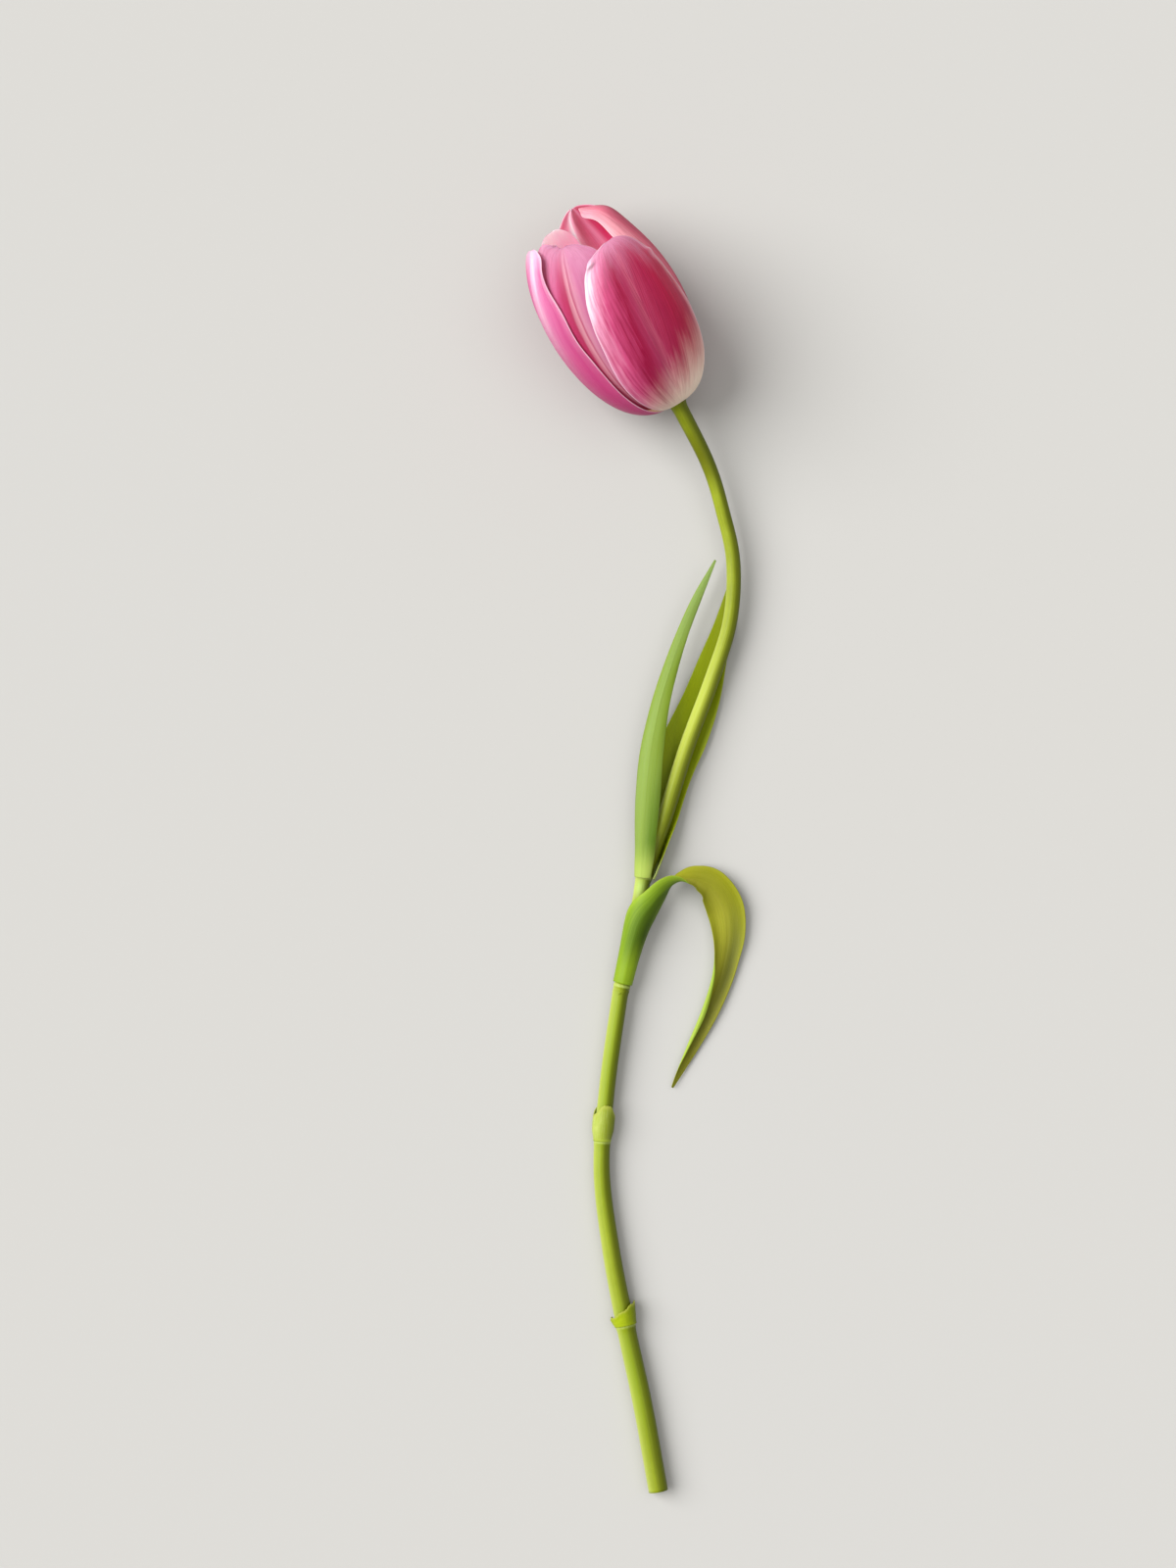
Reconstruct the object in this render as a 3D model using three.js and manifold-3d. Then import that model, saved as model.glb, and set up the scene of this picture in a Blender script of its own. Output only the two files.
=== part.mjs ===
// A cut tulip lying on its side: one bloom of six tepals round a pistil and six stamens,
// on a long stem with three leaves and the torn stubs of two more.
// Millimetres, +Z up. The stem runs along +Y from its cut end to the bloom. The surface that
// the tulip lies on is z = 0, and the origin is the middle of the tulip's box, on that surface.
import * as THREE from "three";
import { mergeVertices } from "three/addons/utils/BufferGeometryUtils.js";
import Module from "manifold-3d";

const wasm = await Module();
wasm.setup();

const DEGREE = Math.PI / 180;
const UP = new THREE.Vector3(0, 0, 1);
// The small step that a surface's slope is measured over.
const SLOPE_STEP = 1e-3;

// Stem: stations from the cut end to the bloom, as x, y, z of its middle and its radius.
const STEM_STATIONS = [
  [7.1, -196.0, 3.0, 3.0],
  [2.2, -169.0, 3.0, 2.98],
  [-3.2, -144.0, 3.0, 2.85],
  [-7.6, -121.0, 3.0, 2.7],
  [-10.4, -97.0, 3.0, 2.5],
  [-8.7, -72.0, 3.3, 2.45],
  [-5.1, -46.0, 4.0, 2.45],
  [-4.5, -42.4, 4.1, 2.4],
  [-4.0, -39.8, 4.15, 2.0],
  [-1.0, -25.0, 4.5, 2.05],
  [1.4, -14.0, 4.7, 2.3],
  [3.0, -6.0, 4.8, 2.35],
  [9.0, 11.0, 5.0, 2.4],
  [15.6, 32.0, 4.9, 2.4],
  [23.4, 53.0, 4.9, 2.35],
  [29.0, 71.0, 5.2, 2.25],
  [30.0, 89.0, 6.0, 2.2],
  [26.8, 104.5, 7.2, 2.15],
  [22.0, 119.5, 9.3, 2.2],
  [12.3, 138.0, 14.1, 2.45],
];
const STEM_SIDES = 12;
const STEM_STEPS = 68;
const CORE_LENGTH = 2.6;

// Bloom: the seat of its tepals, and its axis, turned left of +Y and raised from the surface.
const BLOOM_BASE = new THREE.Vector3(12.3, 138.0, 14.1);
const BLOOM_TURN = 32 * DEGREE;
const BLOOM_RISE = 14 * DEGREE;
const TEPAL_THICKNESS = 0.7;
const TEPAL_COLUMNS = 10;
const TEPAL_ROWS = 16;

// Tepals: the side profile as four points of a Bezier curve, each a radius and a height over
// the bloom's base, then from base to tip the direction that the tepal's middle faces, in
// degrees round the axis from the upper side, and half the angle that it spans. A blunt tip
// keeps its width further up, and flare is how far the edges stand out, in millimetres.
const TEPALS = {
  outer_tepal_1: {
    profile: [[3.0, 0], [21.5, -1.5], [27.5, 40], [17.3, 54.5]],
    facing: [11, 11, 12, 15],
    spread: [36, 40, 42, 43],
    blunt: 9,
    flare: 0.3,
  },
  outer_tepal_2: {
    profile: [[3.0, 0], [21.5, -1.5], [29.5, 45], [12, 65]],
    facing: [154, 156, 156, 160],
    spread: [48, 48, 46, 44],
    blunt: 8,
    flare: 0.4,
  },
  outer_tepal_3: {
    profile: [[3.0, 0], [24, -1.5], [29.5, 45], [15, 62.6]],
    facing: [-98, -98, -96, -80],
    spread: [46, 47, 46, 38],
    blunt: 6,
    flare: 0.8,
  },
  inner_tepal_1: {
    profile: [[3.0, 1.6], [20.5, -0.5], [25.5, 43], [11, 59]],
    facing: [-52, -50, -44, -34],
    spread: [46, 50, 50, 54],
    blunt: 12,
    flare: 0.0,
  },
  inner_tepal_2: {
    profile: [[3.0, 1.6], [19.0, -0.5], [28.5, 47], [9.5, 63.8]],
    facing: [76, 78, 78, 66],
    spread: [46, 48, 46, 36],
    blunt: 6,
    flare: 0.0,
  },
  inner_tepal_3: {
    profile: [[3.0, 1.6], [19.5, -0.5], [25.5, 44], [10.5, 65]],
    facing: [204, 204, 204, 206],
    spread: [46, 48, 42, 30],
    blunt: 6,
    flare: 0.0,
  },
};
const TIP_REACH = 0.998;
const TIP_ROUNDNESS = 0.55;
// How far the rows of a tepal crowd towards its base and its tip.
const ROW_CROWDING = 0.1;

// Leaves: stations from the base to the tip, as x, y, z of the midrib, half the width measured
// over the blade, the radius that it is channelled to, and its roll in degrees: 0 has the
// channel open downward and 180 upward.
const LEAF_THICKNESS = 0.62;
const LEAVES = {
  leaf_upper_front: {
    columns: 8,
    rows: 26,
    stations: [
      [1.5, -7.4, 7.75, 3.3, 3.05, -25],
      [1.9, -1.0, 8.4, 3.9, 3.8, -28],
      [2.3, 8.0, 8.8, 4.5, 4.6, -28],
      [3.1, 20.0, 9.0, 4.8, 5.2, -25],
      [4.6, 32.0, 9.0, 4.15, 5.2, -20],
      [7.0, 44.0, 8.7, 3.2, 4.8, -14],
      [10.4, 56.0, 8.2, 2.45, 4.4, -8],
      [14.4, 67.5, 7.7, 1.9, 4.0, -4],
      [19.0, 78.5, 7.2, 1.4, 4.0, 0],
      [24.5, 89.9, 6.8, 0.35, 4.0, 0],
    ],
  },
  leaf_upper_back: {
    columns: 8,
    rows: 24,
    stations: [
      [4.0, -7.8, 1.9, 5.2, 3.1, 155],
      [5.6, -1.5, 1.45, 6.0, 3.95, 160],
      [7.0, 7.5, 0.9, 6.5, 6.4, 168],
      [8.6, 17.0, 0.7, 6.8, 11.0, 176],
      [11.2, 26.5, 0.6, 7.2, 14.0, 180],
      [15.9, 36.5, 0.6, 6.85, 15.0, 180],
      [20.15, 47.0, 0.6, 5.95, 12.0, 180],
      [23.5, 58.0, 0.7, 4.6, 10.0, 180],
      [26.7, 69.5, 0.9, 2.8, 9.0, 180],
      [29.2, 83.5, 1.5, 0.35, 8.0, 180],
    ],
  },
  leaf_drooping: {
    columns: 8,
    rows: 48,
    stations: [
      [-3.95, -40.0, 6.95, 5.0, 2.82, 0],
      [-1.6, -30.5, 7.5, 6.0, 3.2, 2],
      [1.3, -20.8, 8.9, 6.1, 4.3, 6],
      [5.6, -14.6, 9.2, 4.3, 6.0, 28],
      [9.2, -10.8, 8.9, 4.2, 6.5, 50],
      [12.0, -8.9, 8.0, 4.0, 7.0, 80],
      [14.9, -8.0, 6.7, 3.7, 9.0, 122],
      [18.6, -8.0, 5.0, 4.4, 9.0, 150],
      [23.4, -10.3, 3.0, 5.7, 8.5, 170],
      [27.4, -16.4, 1.4, 6.3, 9.0, 180],
      [28.6, -24.2, 0.7, 5.6, 7.5, 176],
      [27.7, -32.0, 0.6, 4.7, 4.9, 168],
      [25.6, -39.8, 0.6, 4.3, 3.7, 160],
      [21.8, -49.2, 0.7, 3.7, 3.1, 156],
      [17.1, -59.6, 0.9, 2.5, 2.6, 155],
      [11.4, -72.2, 1.2, 0.35, 2.6, 155],
    ],
  },
};

// Stubs of torn leaves: the height along Y of the ring that each grows from, the longest and
// shortest reach of its torn edge up the stem, how far that edge flares, and the angle that it
// leaves open behind the stem.
const STUB_THICKNESS = 0.6;
const STUBS = {
  leaf_stub_upper: { ring: -88.5, reach: 11.0, torn: 4.5, flare: 0.6, open: 90 * DEGREE, turn: 0.4 },
  leaf_stub_lower: { ring: -145.5, reach: 7.0, torn: 3.6, flare: 0.8, open: 120 * DEGREE, turn: 2.4 },
};
const SLEEVE_GAP = 0.34;
const POINT_COUNT = 2;
const NOTCH_COUNT = 7;
const NOTCH_DEPTH = 0.15;
const STUB_COLUMNS = 20;
const STUB_ROWS = 4;

// Pistil and stamens, along the bloom's axis from the receptacle.
const OVARY_RADIUS = 3.0;
const OVARY_FOOT = 1.6;
const OVARY_BASE = CORE_LENGTH + 0.5;
const OVARY_TOP = 24;
const OVARY_SWELL = 0.1;
const DOME_HEIGHT = 1.9;
const LOBE_COUNT = 3;
const LOBE_LENGTH = 2.9;
const LOBE_WIDTH = 1.85;
const LOBE_HEIGHT = 1.7;
const LOBE_REACH = 2.7;
const LOBE_RISE = 0.4;
const FILAMENT_RADIUS = 0.6;
const FILAMENT_LENGTH = 9;
const FILAMENT_SEAT = 2.9;
const ANTHER_RADIUS = 1.15;
const ANTHER_LENGTH = 13;
const ANTHER_FLATNESS = 0.75;
const ANTHER_OVERLAP = 1;
const STAMEN_COUNT = 6;
const STAMEN_SPLAY = 16 * DEGREE;

const FINISHES = {
  outerTepal: { color: 0xd9679c, roughness: 0.55 },
  innerTepal: { color: 0xe58aa8, roughness: 0.55 },
  stem: { color: 0x86942a, roughness: 0.5 },
  leaf: { color: 0x9cb44a, roughness: 0.6 },
  shadedLeaf: { color: 0x75841a, roughness: 0.6 },
  stub: { color: 0xa9bb3c, roughness: 0.6 },
  pistil: { color: 0xc9cf8a, roughness: 0.6 },
  stamen: { color: 0x3f2f3a, roughness: 0.8 },
};

function material(finish) {
  return new THREE.MeshStandardMaterial({ ...finish, metalness: 0 });
}

function namedMesh(name, geometry, surface) {
  const mesh = new THREE.Mesh(geometry, surface);
  mesh.name = name;
  return mesh;
}

// A smooth curve through up to three columns of a table of stations.
function through(stations, columns) {
  const points = stations.map((row) => new THREE.Vector3(...columns.map((column) => row[column])));
  return new THREE.CatmullRomCurve3(points, false, "catmullrom", 0.5);
}

// A smooth curve through plain numbers that are evenly spaced from 0 to 1.
function graded(values) {
  const curve = through(values.map((value) => [value]), [0]);
  return (share) => curve.getPoint(share).x;
}

// The directions along, left of and above a path at a share of its stations.
function frameOn(path, share) {
  const along = path.getTangent(share);
  const left = UP.clone().cross(along).normalize();
  return { origin: path.getPoint(share), along, left, above: along.clone().cross(left) };
}

// The two faces and the rim of a thin blade. surface(share, across) gives the middle of its
// thickness, with share from 0 at the base to 1 at the tip and across from -1 to 1. Both faces
// are split into triangles alike.
function bladeGeometry(surface, thickness, columns, rows) {
  const sheet = new THREE.PlaneGeometry(2, 1, columns, rows);
  const grid = sheet.getAttribute("position");
  const faces = Array.from(sheet.index.array);
  const front = [];
  const back = [];
  for (let corner = 0; corner < grid.count; corner += 1) {
    const across = grid.getX(corner);
    const share = grid.getY(corner) + 0.5;
    const middle = surface(share, across);
    const before = surface(Math.max(share - SLOPE_STEP, 0), across);
    const after = surface(Math.min(share + SLOPE_STEP, 1), across);
    const sideways = surface(share, across + SLOPE_STEP).sub(surface(share, across - SLOPE_STEP));
    const normal = sideways.cross(after.sub(before)).normalize().multiplyScalar(thickness / 2);
    front.push(...middle.clone().add(normal).toArray());
    back.push(...middle.clone().sub(normal).toArray());
  }
  const index = [...faces];
  for (let face = 0; face < faces.length; face += 3) {
    index.push(faces[face] + grid.count, faces[face + 2] + grid.count, faces[face + 1] + grid.count);
  }
  const rim = rimOf(columns, rows);
  rim.forEach((here, place) => {
    const next = rim[(place + 1) % rim.length];
    index.push(next, here, here + grid.count, next, here + grid.count, next + grid.count);
  });
  const geometry = new THREE.BufferGeometry();
  geometry.setAttribute("position", new THREE.Float32BufferAttribute([...front, ...back], 3));
  geometry.setIndex(index);
  return geometry;
}

// The corners round the edge of a grid of squares, counter-clockwise from its lower left.
function rimOf(columns, rows) {
  const corner = (column, row) => column + (columns + 1) * row;
  const rim = [];
  for (let column = 0; column < columns; column += 1) rim.push(corner(column, rows));
  for (let row = rows; row > 0; row -= 1) rim.push(corner(columns, row));
  for (let column = columns; column > 0; column -= 1) rim.push(corner(column, 0));
  for (let row = 0; row < rows; row += 1) rim.push(corner(0, row));
  return rim;
}

// Stem: a closed cylinder bent along its stations, with a short core inside the bloom.
const stemPath = through(STEM_STATIONS, [0, 1, 2]);
const stemRadius = graded(STEM_STATIONS.map((station) => station[3]));

function stemGeometry() {
  const geometry = mergeVertices(bareCylinder(1, 1, 1, STEM_SIDES, STEM_STEPS));
  const position = geometry.getAttribute("position");
  const last = frameOn(stemPath, 1);
  for (let corner = 0; corner < position.count; corner += 1) {
    const share = position.getY(corner) + 0.5;
    const frame = share > 1 - 0.5 / STEM_STEPS ? last : frameOn(stemPath, share);
    const radius = stemRadius(share);
    const place = frame.origin.clone();
    place.addScaledVector(frame.above, position.getX(corner) * radius);
    place.addScaledVector(frame.left, position.getZ(corner) * radius);
    if (frame === last) place.addScaledVector(bloomAxis(), CORE_LENGTH);
    position.setXYZ(corner, place.x, place.y, place.z);
  }
  return geometry;
}

function bareCylinder(top, bottom, height, sides, steps) {
  const geometry = new THREE.CylinderGeometry(top, bottom, height, sides, steps);
  geometry.deleteAttribute("normal");
  geometry.deleteAttribute("uv");
  return geometry;
}

// The stations' share at which the stem reaches a height along Y.
function stemShareAt(y) {
  let low = 0;
  let high = 1;
  while (high - low > 1e-6) {
    const middle = (low + high) / 2;
    if (stemPath.getPoint(middle).y < y) low = middle;
    else high = middle;
  }
  return low;
}

function leafSurface(stations) {
  const path = through(stations, [0, 1, 2]);
  const form = through(stations, [3, 4, 5]);
  return (share, across) => {
    const frame = frameOn(path, share);
    const { x: halfWidth, y: channel, z: roll } = form.getPoint(share);
    const edgeward = frame.left.multiplyScalar(Math.cos(roll * DEGREE));
    edgeward.addScaledVector(frame.above, Math.sin(roll * DEGREE));
    const hollow = edgeward.clone().cross(frame.along);
    const swing = (across * halfWidth) / channel;
    return frame.origin
      .addScaledVector(edgeward, channel * Math.sin(swing))
      .addScaledVector(hollow, channel * (1 - Math.cos(swing)));
  };
}

// A torn sleeve round the stem, its edge cut into two long points with small notches.
function stubSurface({ ring, reach, torn, flare, open, turn }) {
  return (share, across) => {
    const swing = across * (Math.PI - open / 2);
    const points = 0.5 + 0.5 * Math.cos(POINT_COUNT * swing + turn);
    const ragged = points + NOTCH_DEPTH * Math.sin(NOTCH_COUNT * swing);
    const height = ring + share * (reach - torn * (1 - ragged));
    const station = stemShareAt(height);
    const frame = frameOn(stemPath, station);
    const radius = stemRadius(station) + SLEEVE_GAP + STUB_THICKNESS / 2 + flare * share ** 2;
    return frame.origin
      .addScaledVector(frame.left, radius * Math.sin(swing))
      .addScaledVector(frame.above, radius * Math.cos(swing));
  };
}

function bloomAxis() {
  const level = Math.cos(BLOOM_RISE);
  return new THREE.Vector3(
    -Math.sin(BLOOM_TURN) * level,
    Math.cos(BLOOM_TURN) * level,
    Math.sin(BLOOM_RISE),
  );
}

// The bloom's own frame: its axis is +Z, and +X is the side of it that faces up.
function bloomFrame() {
  const axis = bloomAxis();
  const upper = UP.clone().addScaledVector(axis, -Math.sin(BLOOM_RISE)).normalize();
  return new THREE.Matrix4().makeBasis(upper, axis.clone().cross(upper), axis).setPosition(BLOOM_BASE);
}

// The lowest that the middle of a tepal may lie in the bloom's frame, so that the bloom is
// pressed to a small flat spot where it rests on the surface.
function restingSide(height) {
  const lowest = TEPAL_THICKNESS / 2 - BLOOM_BASE.z;
  return (lowest - height * Math.sin(BLOOM_RISE)) / Math.cos(BLOOM_RISE);
}

function tepalSurface({ profile, facing, spread, blunt, flare }) {
  const side = new THREE.CubicBezierCurve(...profile.map(([r, h]) => new THREE.Vector2(r, h)));
  const facingAt = graded(facing);
  const spreadAt = graded(spread);
  return (share, across) => {
    const reach = share - ROW_CROWDING * Math.sin(2 * Math.PI * share);
    const { x: radius, y: height } = side.getPoint(reach);
    const taper = (1 - (TIP_REACH * reach) ** blunt) ** TIP_ROUNDNESS;
    const swing = across * spreadAt(reach) * taper * DEGREE;
    const opened = flare * Math.abs(across) ** 3 * Math.sin(Math.PI * reach ** 2);
    const turn = facingAt(reach) * DEGREE + swing;
    const x = (radius + opened) * Math.cos(turn);
    const y = (radius + opened) * Math.sin(turn);
    return new THREE.Vector3(Math.max(x, restingSide(height)), y, height);
  };
}

function toManifold(geometry) {
  const bare = geometry.clone();
  bare.deleteAttribute("normal");
  bare.deleteAttribute("uv");
  const merged = mergeVertices(bare);
  return new wasm.Manifold(new wasm.Mesh({
    numProp: 3,
    vertProperties: new Float32Array(merged.getAttribute("position").array),
    triVerts: new Uint32Array(merged.index.array),
  }));
}

// One closed geometry from several that overlap.
function joined(geometries) {
  const whole = geometries.map(toManifold).reduce((sum, next) => sum.add(next));
  const mesh = whole.getMesh();
  const geometry = new THREE.BufferGeometry();
  geometry.setAttribute("position", new THREE.Float32BufferAttribute(mesh.vertProperties, 3));
  geometry.setIndex(Array.from(mesh.triVerts));
  return geometry;
}

// A three-sided ovary under a stigma of three lobes.
function pistilGeometry() {
  const outline = [
    [0, OVARY_BASE],
    [OVARY_FOOT, OVARY_BASE],
    [OVARY_RADIUS * 0.92, OVARY_BASE + 4],
    [OVARY_RADIUS, OVARY_BASE + 10],
    [OVARY_RADIUS * 0.85, OVARY_TOP - 3],
    [OVARY_RADIUS * 0.7, OVARY_TOP],
    [OVARY_RADIUS * 0.45, OVARY_TOP + DOME_HEIGHT * 0.85],
    [0, OVARY_TOP + DOME_HEIGHT],
  ];
  const ovary = new THREE.LatheGeometry(outline.map(([r, h]) => new THREE.Vector2(r, h)), 18);
  ovary.rotateX(Math.PI / 2);
  const position = ovary.getAttribute("position");
  for (let corner = 0; corner < position.count; corner += 1) {
    const x = position.getX(corner);
    const y = position.getY(corner);
    const angle = Math.atan2(y, x);
    const swell = 1 + OVARY_SWELL * Math.cos(LOBE_COUNT * angle);
    position.setXY(corner, x * swell, y * swell);
  }
  const lobes = Array.from({ length: LOBE_COUNT }, (_, lobe) => {
    const ball = new THREE.SphereGeometry(1, 10, 8);
    ball.scale(LOBE_LENGTH, LOBE_WIDTH, LOBE_HEIGHT);
    ball.translate(LOBE_REACH, 0, OVARY_TOP + LOBE_RISE);
    ball.rotateZ((lobe * 2 * Math.PI) / LOBE_COUNT);
    return ball;
  });
  return joined([ovary, ...lobes]);
}

// A tapered filament that carries a long anther, splayed a little from the axis.
function stamenGeometry() {
  const filament = bareCylinder(FILAMENT_RADIUS * 0.7, FILAMENT_RADIUS, FILAMENT_LENGTH, 6, 1);
  filament.translate(0, FILAMENT_LENGTH / 2, 0);
  const anther = new THREE.CapsuleGeometry(ANTHER_RADIUS, ANTHER_LENGTH - 2 * ANTHER_RADIUS, 3, 8);
  anther.scale(1, 1, ANTHER_FLATNESS);
  anther.translate(0, FILAMENT_LENGTH + ANTHER_LENGTH / 2 - ANTHER_OVERLAP, 0);
  const stamen = joined([filament, anther]);
  stamen.rotateX(Math.PI / 2);
  stamen.rotateY(STAMEN_SPLAY);
  return stamen;
}

function bloomGroup() {
  const bloom = new THREE.Group();
  bloom.applyMatrix4(bloomFrame());
  for (const [name, tepal] of Object.entries(TEPALS)) {
    const geometry = bladeGeometry(tepalSurface(tepal), TEPAL_THICKNESS, TEPAL_COLUMNS, TEPAL_ROWS);
    const finish = name.startsWith("outer") ? FINISHES.outerTepal : FINISHES.innerTepal;
    bloom.add(namedMesh(name, geometry, material(finish)));
  }
  bloom.add(namedMesh("pistil", pistilGeometry(), material(FINISHES.pistil)));
  for (let place = 0; place < STAMEN_COUNT; place += 1) {
    const stamen = namedMesh(`stamen_${place + 1}`, stamenGeometry(), material(FINISHES.stamen));
    const turn = ((place + 0.5) * 2 * Math.PI) / STAMEN_COUNT;
    stamen.position.set(FILAMENT_SEAT * Math.cos(turn), FILAMENT_SEAT * Math.sin(turn), OVARY_BASE);
    stamen.rotation.z = turn;
    bloom.add(stamen);
  }
  return bloom;
}

function tulip() {
  const whole = new THREE.Group();
  whole.add(namedMesh("stem", stemGeometry(), material(FINISHES.stem)));
  for (const [name, { stations, columns, rows }] of Object.entries(LEAVES)) {
    const geometry = bladeGeometry(leafSurface(stations), LEAF_THICKNESS, columns, rows);
    const finish = name === "leaf_upper_back" ? FINISHES.shadedLeaf : FINISHES.leaf;
    whole.add(namedMesh(name, geometry, material(finish)));
  }
  for (const [name, stub] of Object.entries(STUBS)) {
    const geometry = bladeGeometry(stubSurface(stub), STUB_THICKNESS, STUB_COLUMNS, STUB_ROWS);
    whole.add(namedMesh(name, geometry, material(FINISHES.stub)));
  }
  whole.add(bloomGroup());
  return whole;
}

export default tulip();
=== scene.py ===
"""A cut pink tulip laid on its side: six tepals, a long stem, three leaves and two stubs.

Metres, +Z up. Sizes in the classes are millimetres, in the frame that the solids share: the
stem runs along +Y from its cut end to the bloom, and the floor is z = 0.
"""

import logging
import math
from collections.abc import Callable
from dataclasses import dataclass, field
from enum import Enum

import bmesh
import bpy
from mathutils import Matrix, Vector

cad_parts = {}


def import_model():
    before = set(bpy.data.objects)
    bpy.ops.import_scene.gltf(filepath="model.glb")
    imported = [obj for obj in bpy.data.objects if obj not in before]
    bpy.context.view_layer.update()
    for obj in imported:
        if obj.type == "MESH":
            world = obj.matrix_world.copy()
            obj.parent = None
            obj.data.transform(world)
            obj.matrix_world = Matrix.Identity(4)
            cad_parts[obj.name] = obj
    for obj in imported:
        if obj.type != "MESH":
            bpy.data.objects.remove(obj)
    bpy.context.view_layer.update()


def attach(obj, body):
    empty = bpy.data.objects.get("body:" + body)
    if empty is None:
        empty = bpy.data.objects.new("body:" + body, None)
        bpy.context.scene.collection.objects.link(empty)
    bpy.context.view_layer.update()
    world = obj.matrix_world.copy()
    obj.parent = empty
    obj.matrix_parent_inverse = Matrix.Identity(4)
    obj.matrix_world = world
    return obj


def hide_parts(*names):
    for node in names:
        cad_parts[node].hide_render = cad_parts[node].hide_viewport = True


LOG = logging.getLogger("tulip")

MM = 0.001
UP = Vector((0.0, 0.0, 1.0))
MAP_NAME = "UVMap"
BODY = "root"

FULL_TURN = 2 * math.pi
BACK_FINISH = 1
SIDE_FULLNESS = 6
TIP_FULLNESS = 14

Surface = Callable[[float, float], Vector]
Colour = tuple[float, float, float]


class Slot(Enum):
    """The record's material slots."""

    STEM = "stem"
    OUTER_TEPAL = "outer_tepal"
    INNER_TEPAL = "inner_tepal"
    LEAF = "leaf"
    PISTIL = "pistil"
    STAMEN = "stamen"


class Closure(Enum):
    """Whether a bent sheet stays open or its two long edges meet."""

    OPEN = "open"
    SEAMED = "seamed"


def tint(code: int) -> Colour:
    """Gives the linear colour of a screen colour code.

    Args:
        code: The colour as 0xRRGGBB.

    Returns:
        Linear red, green and blue.
    """
    parts = [((code >> shift) & 0xFF) / 255 for shift in (16, 8, 0)]
    return tuple(p / 12.92 if p <= 0.04045 else ((p + 0.055) / 1.055) ** 2.4 for p in parts)


def eased(low: float, high: float, value: float) -> float:
    """Rises smoothly from 0 at low to 1 at high.

    Args:
        low: Where the rise starts.
        high: Where it ends.
        value: The place on the way.

    Returns:
        A number from 0 to 1.
    """
    step = min(max((value - low) / (high - low), 0.0), 1.0)
    return step * step * (3 - 2 * step)


def hump(centre: float, reach: float, value: float) -> float:
    """Gives a smooth hump of height 1.

    Args:
        centre: Where the hump is highest.
        reach: How far it spreads to either side.
        value: The place on the way.

    Returns:
        A number from 0 to 1.
    """
    return math.exp(-(((value - centre) / reach) ** 2))


@dataclass(frozen=True)
class Track:
    """A smooth curve through evenly spaced stations of any number of values."""

    stations: tuple[tuple[float, ...], ...]

    def at(self, share: float) -> tuple[float, ...]:
        """Gives the values at a share of the way.

        Args:
            share: From 0 at the first station to 1 at the last.

        Returns:
            As many values as a station has.
        """
        last = len(self.stations) - 1
        place = min(max(share, 0.0), 1.0) * last
        first = min(int(place), last - 1)
        step = place - first
        here = self.stations[first]
        there = self.stations[first + 1]
        before = self._beyond(first - 1)
        after = self._beyond(first + 2)
        return tuple(
            self._between(before[i], here[i], there[i], after[i], step) for i in range(len(here))
        )

    def _beyond(self, index: int) -> tuple[float, ...]:
        """Gives a station, or the one that the ends point to.

        Args:
            index: The station's place in the list, which may be one past either end.

        Returns:
            The station's values.
        """
        ends = self.stations
        if index < 0:
            return tuple(2 * a - b for a, b in zip(ends[0], ends[1]))
        if index >= len(ends):
            return tuple(2 * a - b for a, b in zip(ends[-1], ends[-2]))
        return ends[index]

    @staticmethod
    def _between(before: float, here: float, there: float, after: float, step: float) -> float:
        """Goes from one value to the next on a smooth curve.

        Args:
            before: The value one station back.
            here: The value where the stretch starts.
            there: The value where it ends.
            after: The value one station on.
            step: The share of the stretch.

        Returns:
            The value there.
        """
        leave = (there - before) / 2
        arrive = (after - here) / 2
        square = 3 * (there - here) - 2 * leave - arrive
        cube = 2 * (here - there) + leave + arrive
        return here + step * (leave + step * (square + step * cube))


def grading(*values: float) -> Callable[[float], float]:
    """Makes a smooth change through evenly spaced values.

    Args:
        values: The values from share 0 to share 1.

    Returns:
        A function from share to value.
    """
    track = Track(tuple((value,) for value in values))
    return lambda share: track.at(share)[0]


@dataclass(frozen=True)
class Footing:
    """A place on a path with the directions along, left of and above it."""

    origin: Vector
    along: Vector
    left: Vector
    above: Vector

    @classmethod
    def on(cls, path: Track, share: float) -> "Footing":
        """Finds the footing on a path whose stations begin with x, y and z.

        Args:
            path: The path.
            share: From 0 at its start to 1 at its end.

        Returns:
            The footing there.
        """
        reach = 1e-4
        ahead = Vector(path.at(min(share + reach, 1.0))[:3])
        behind = Vector(path.at(max(share - reach, 0.0))[:3])
        along = (ahead - behind).normalized()
        left = UP.cross(along).normalized()
        return cls(Vector(path.at(share)[:3]), along, left, along.cross(left))


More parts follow.
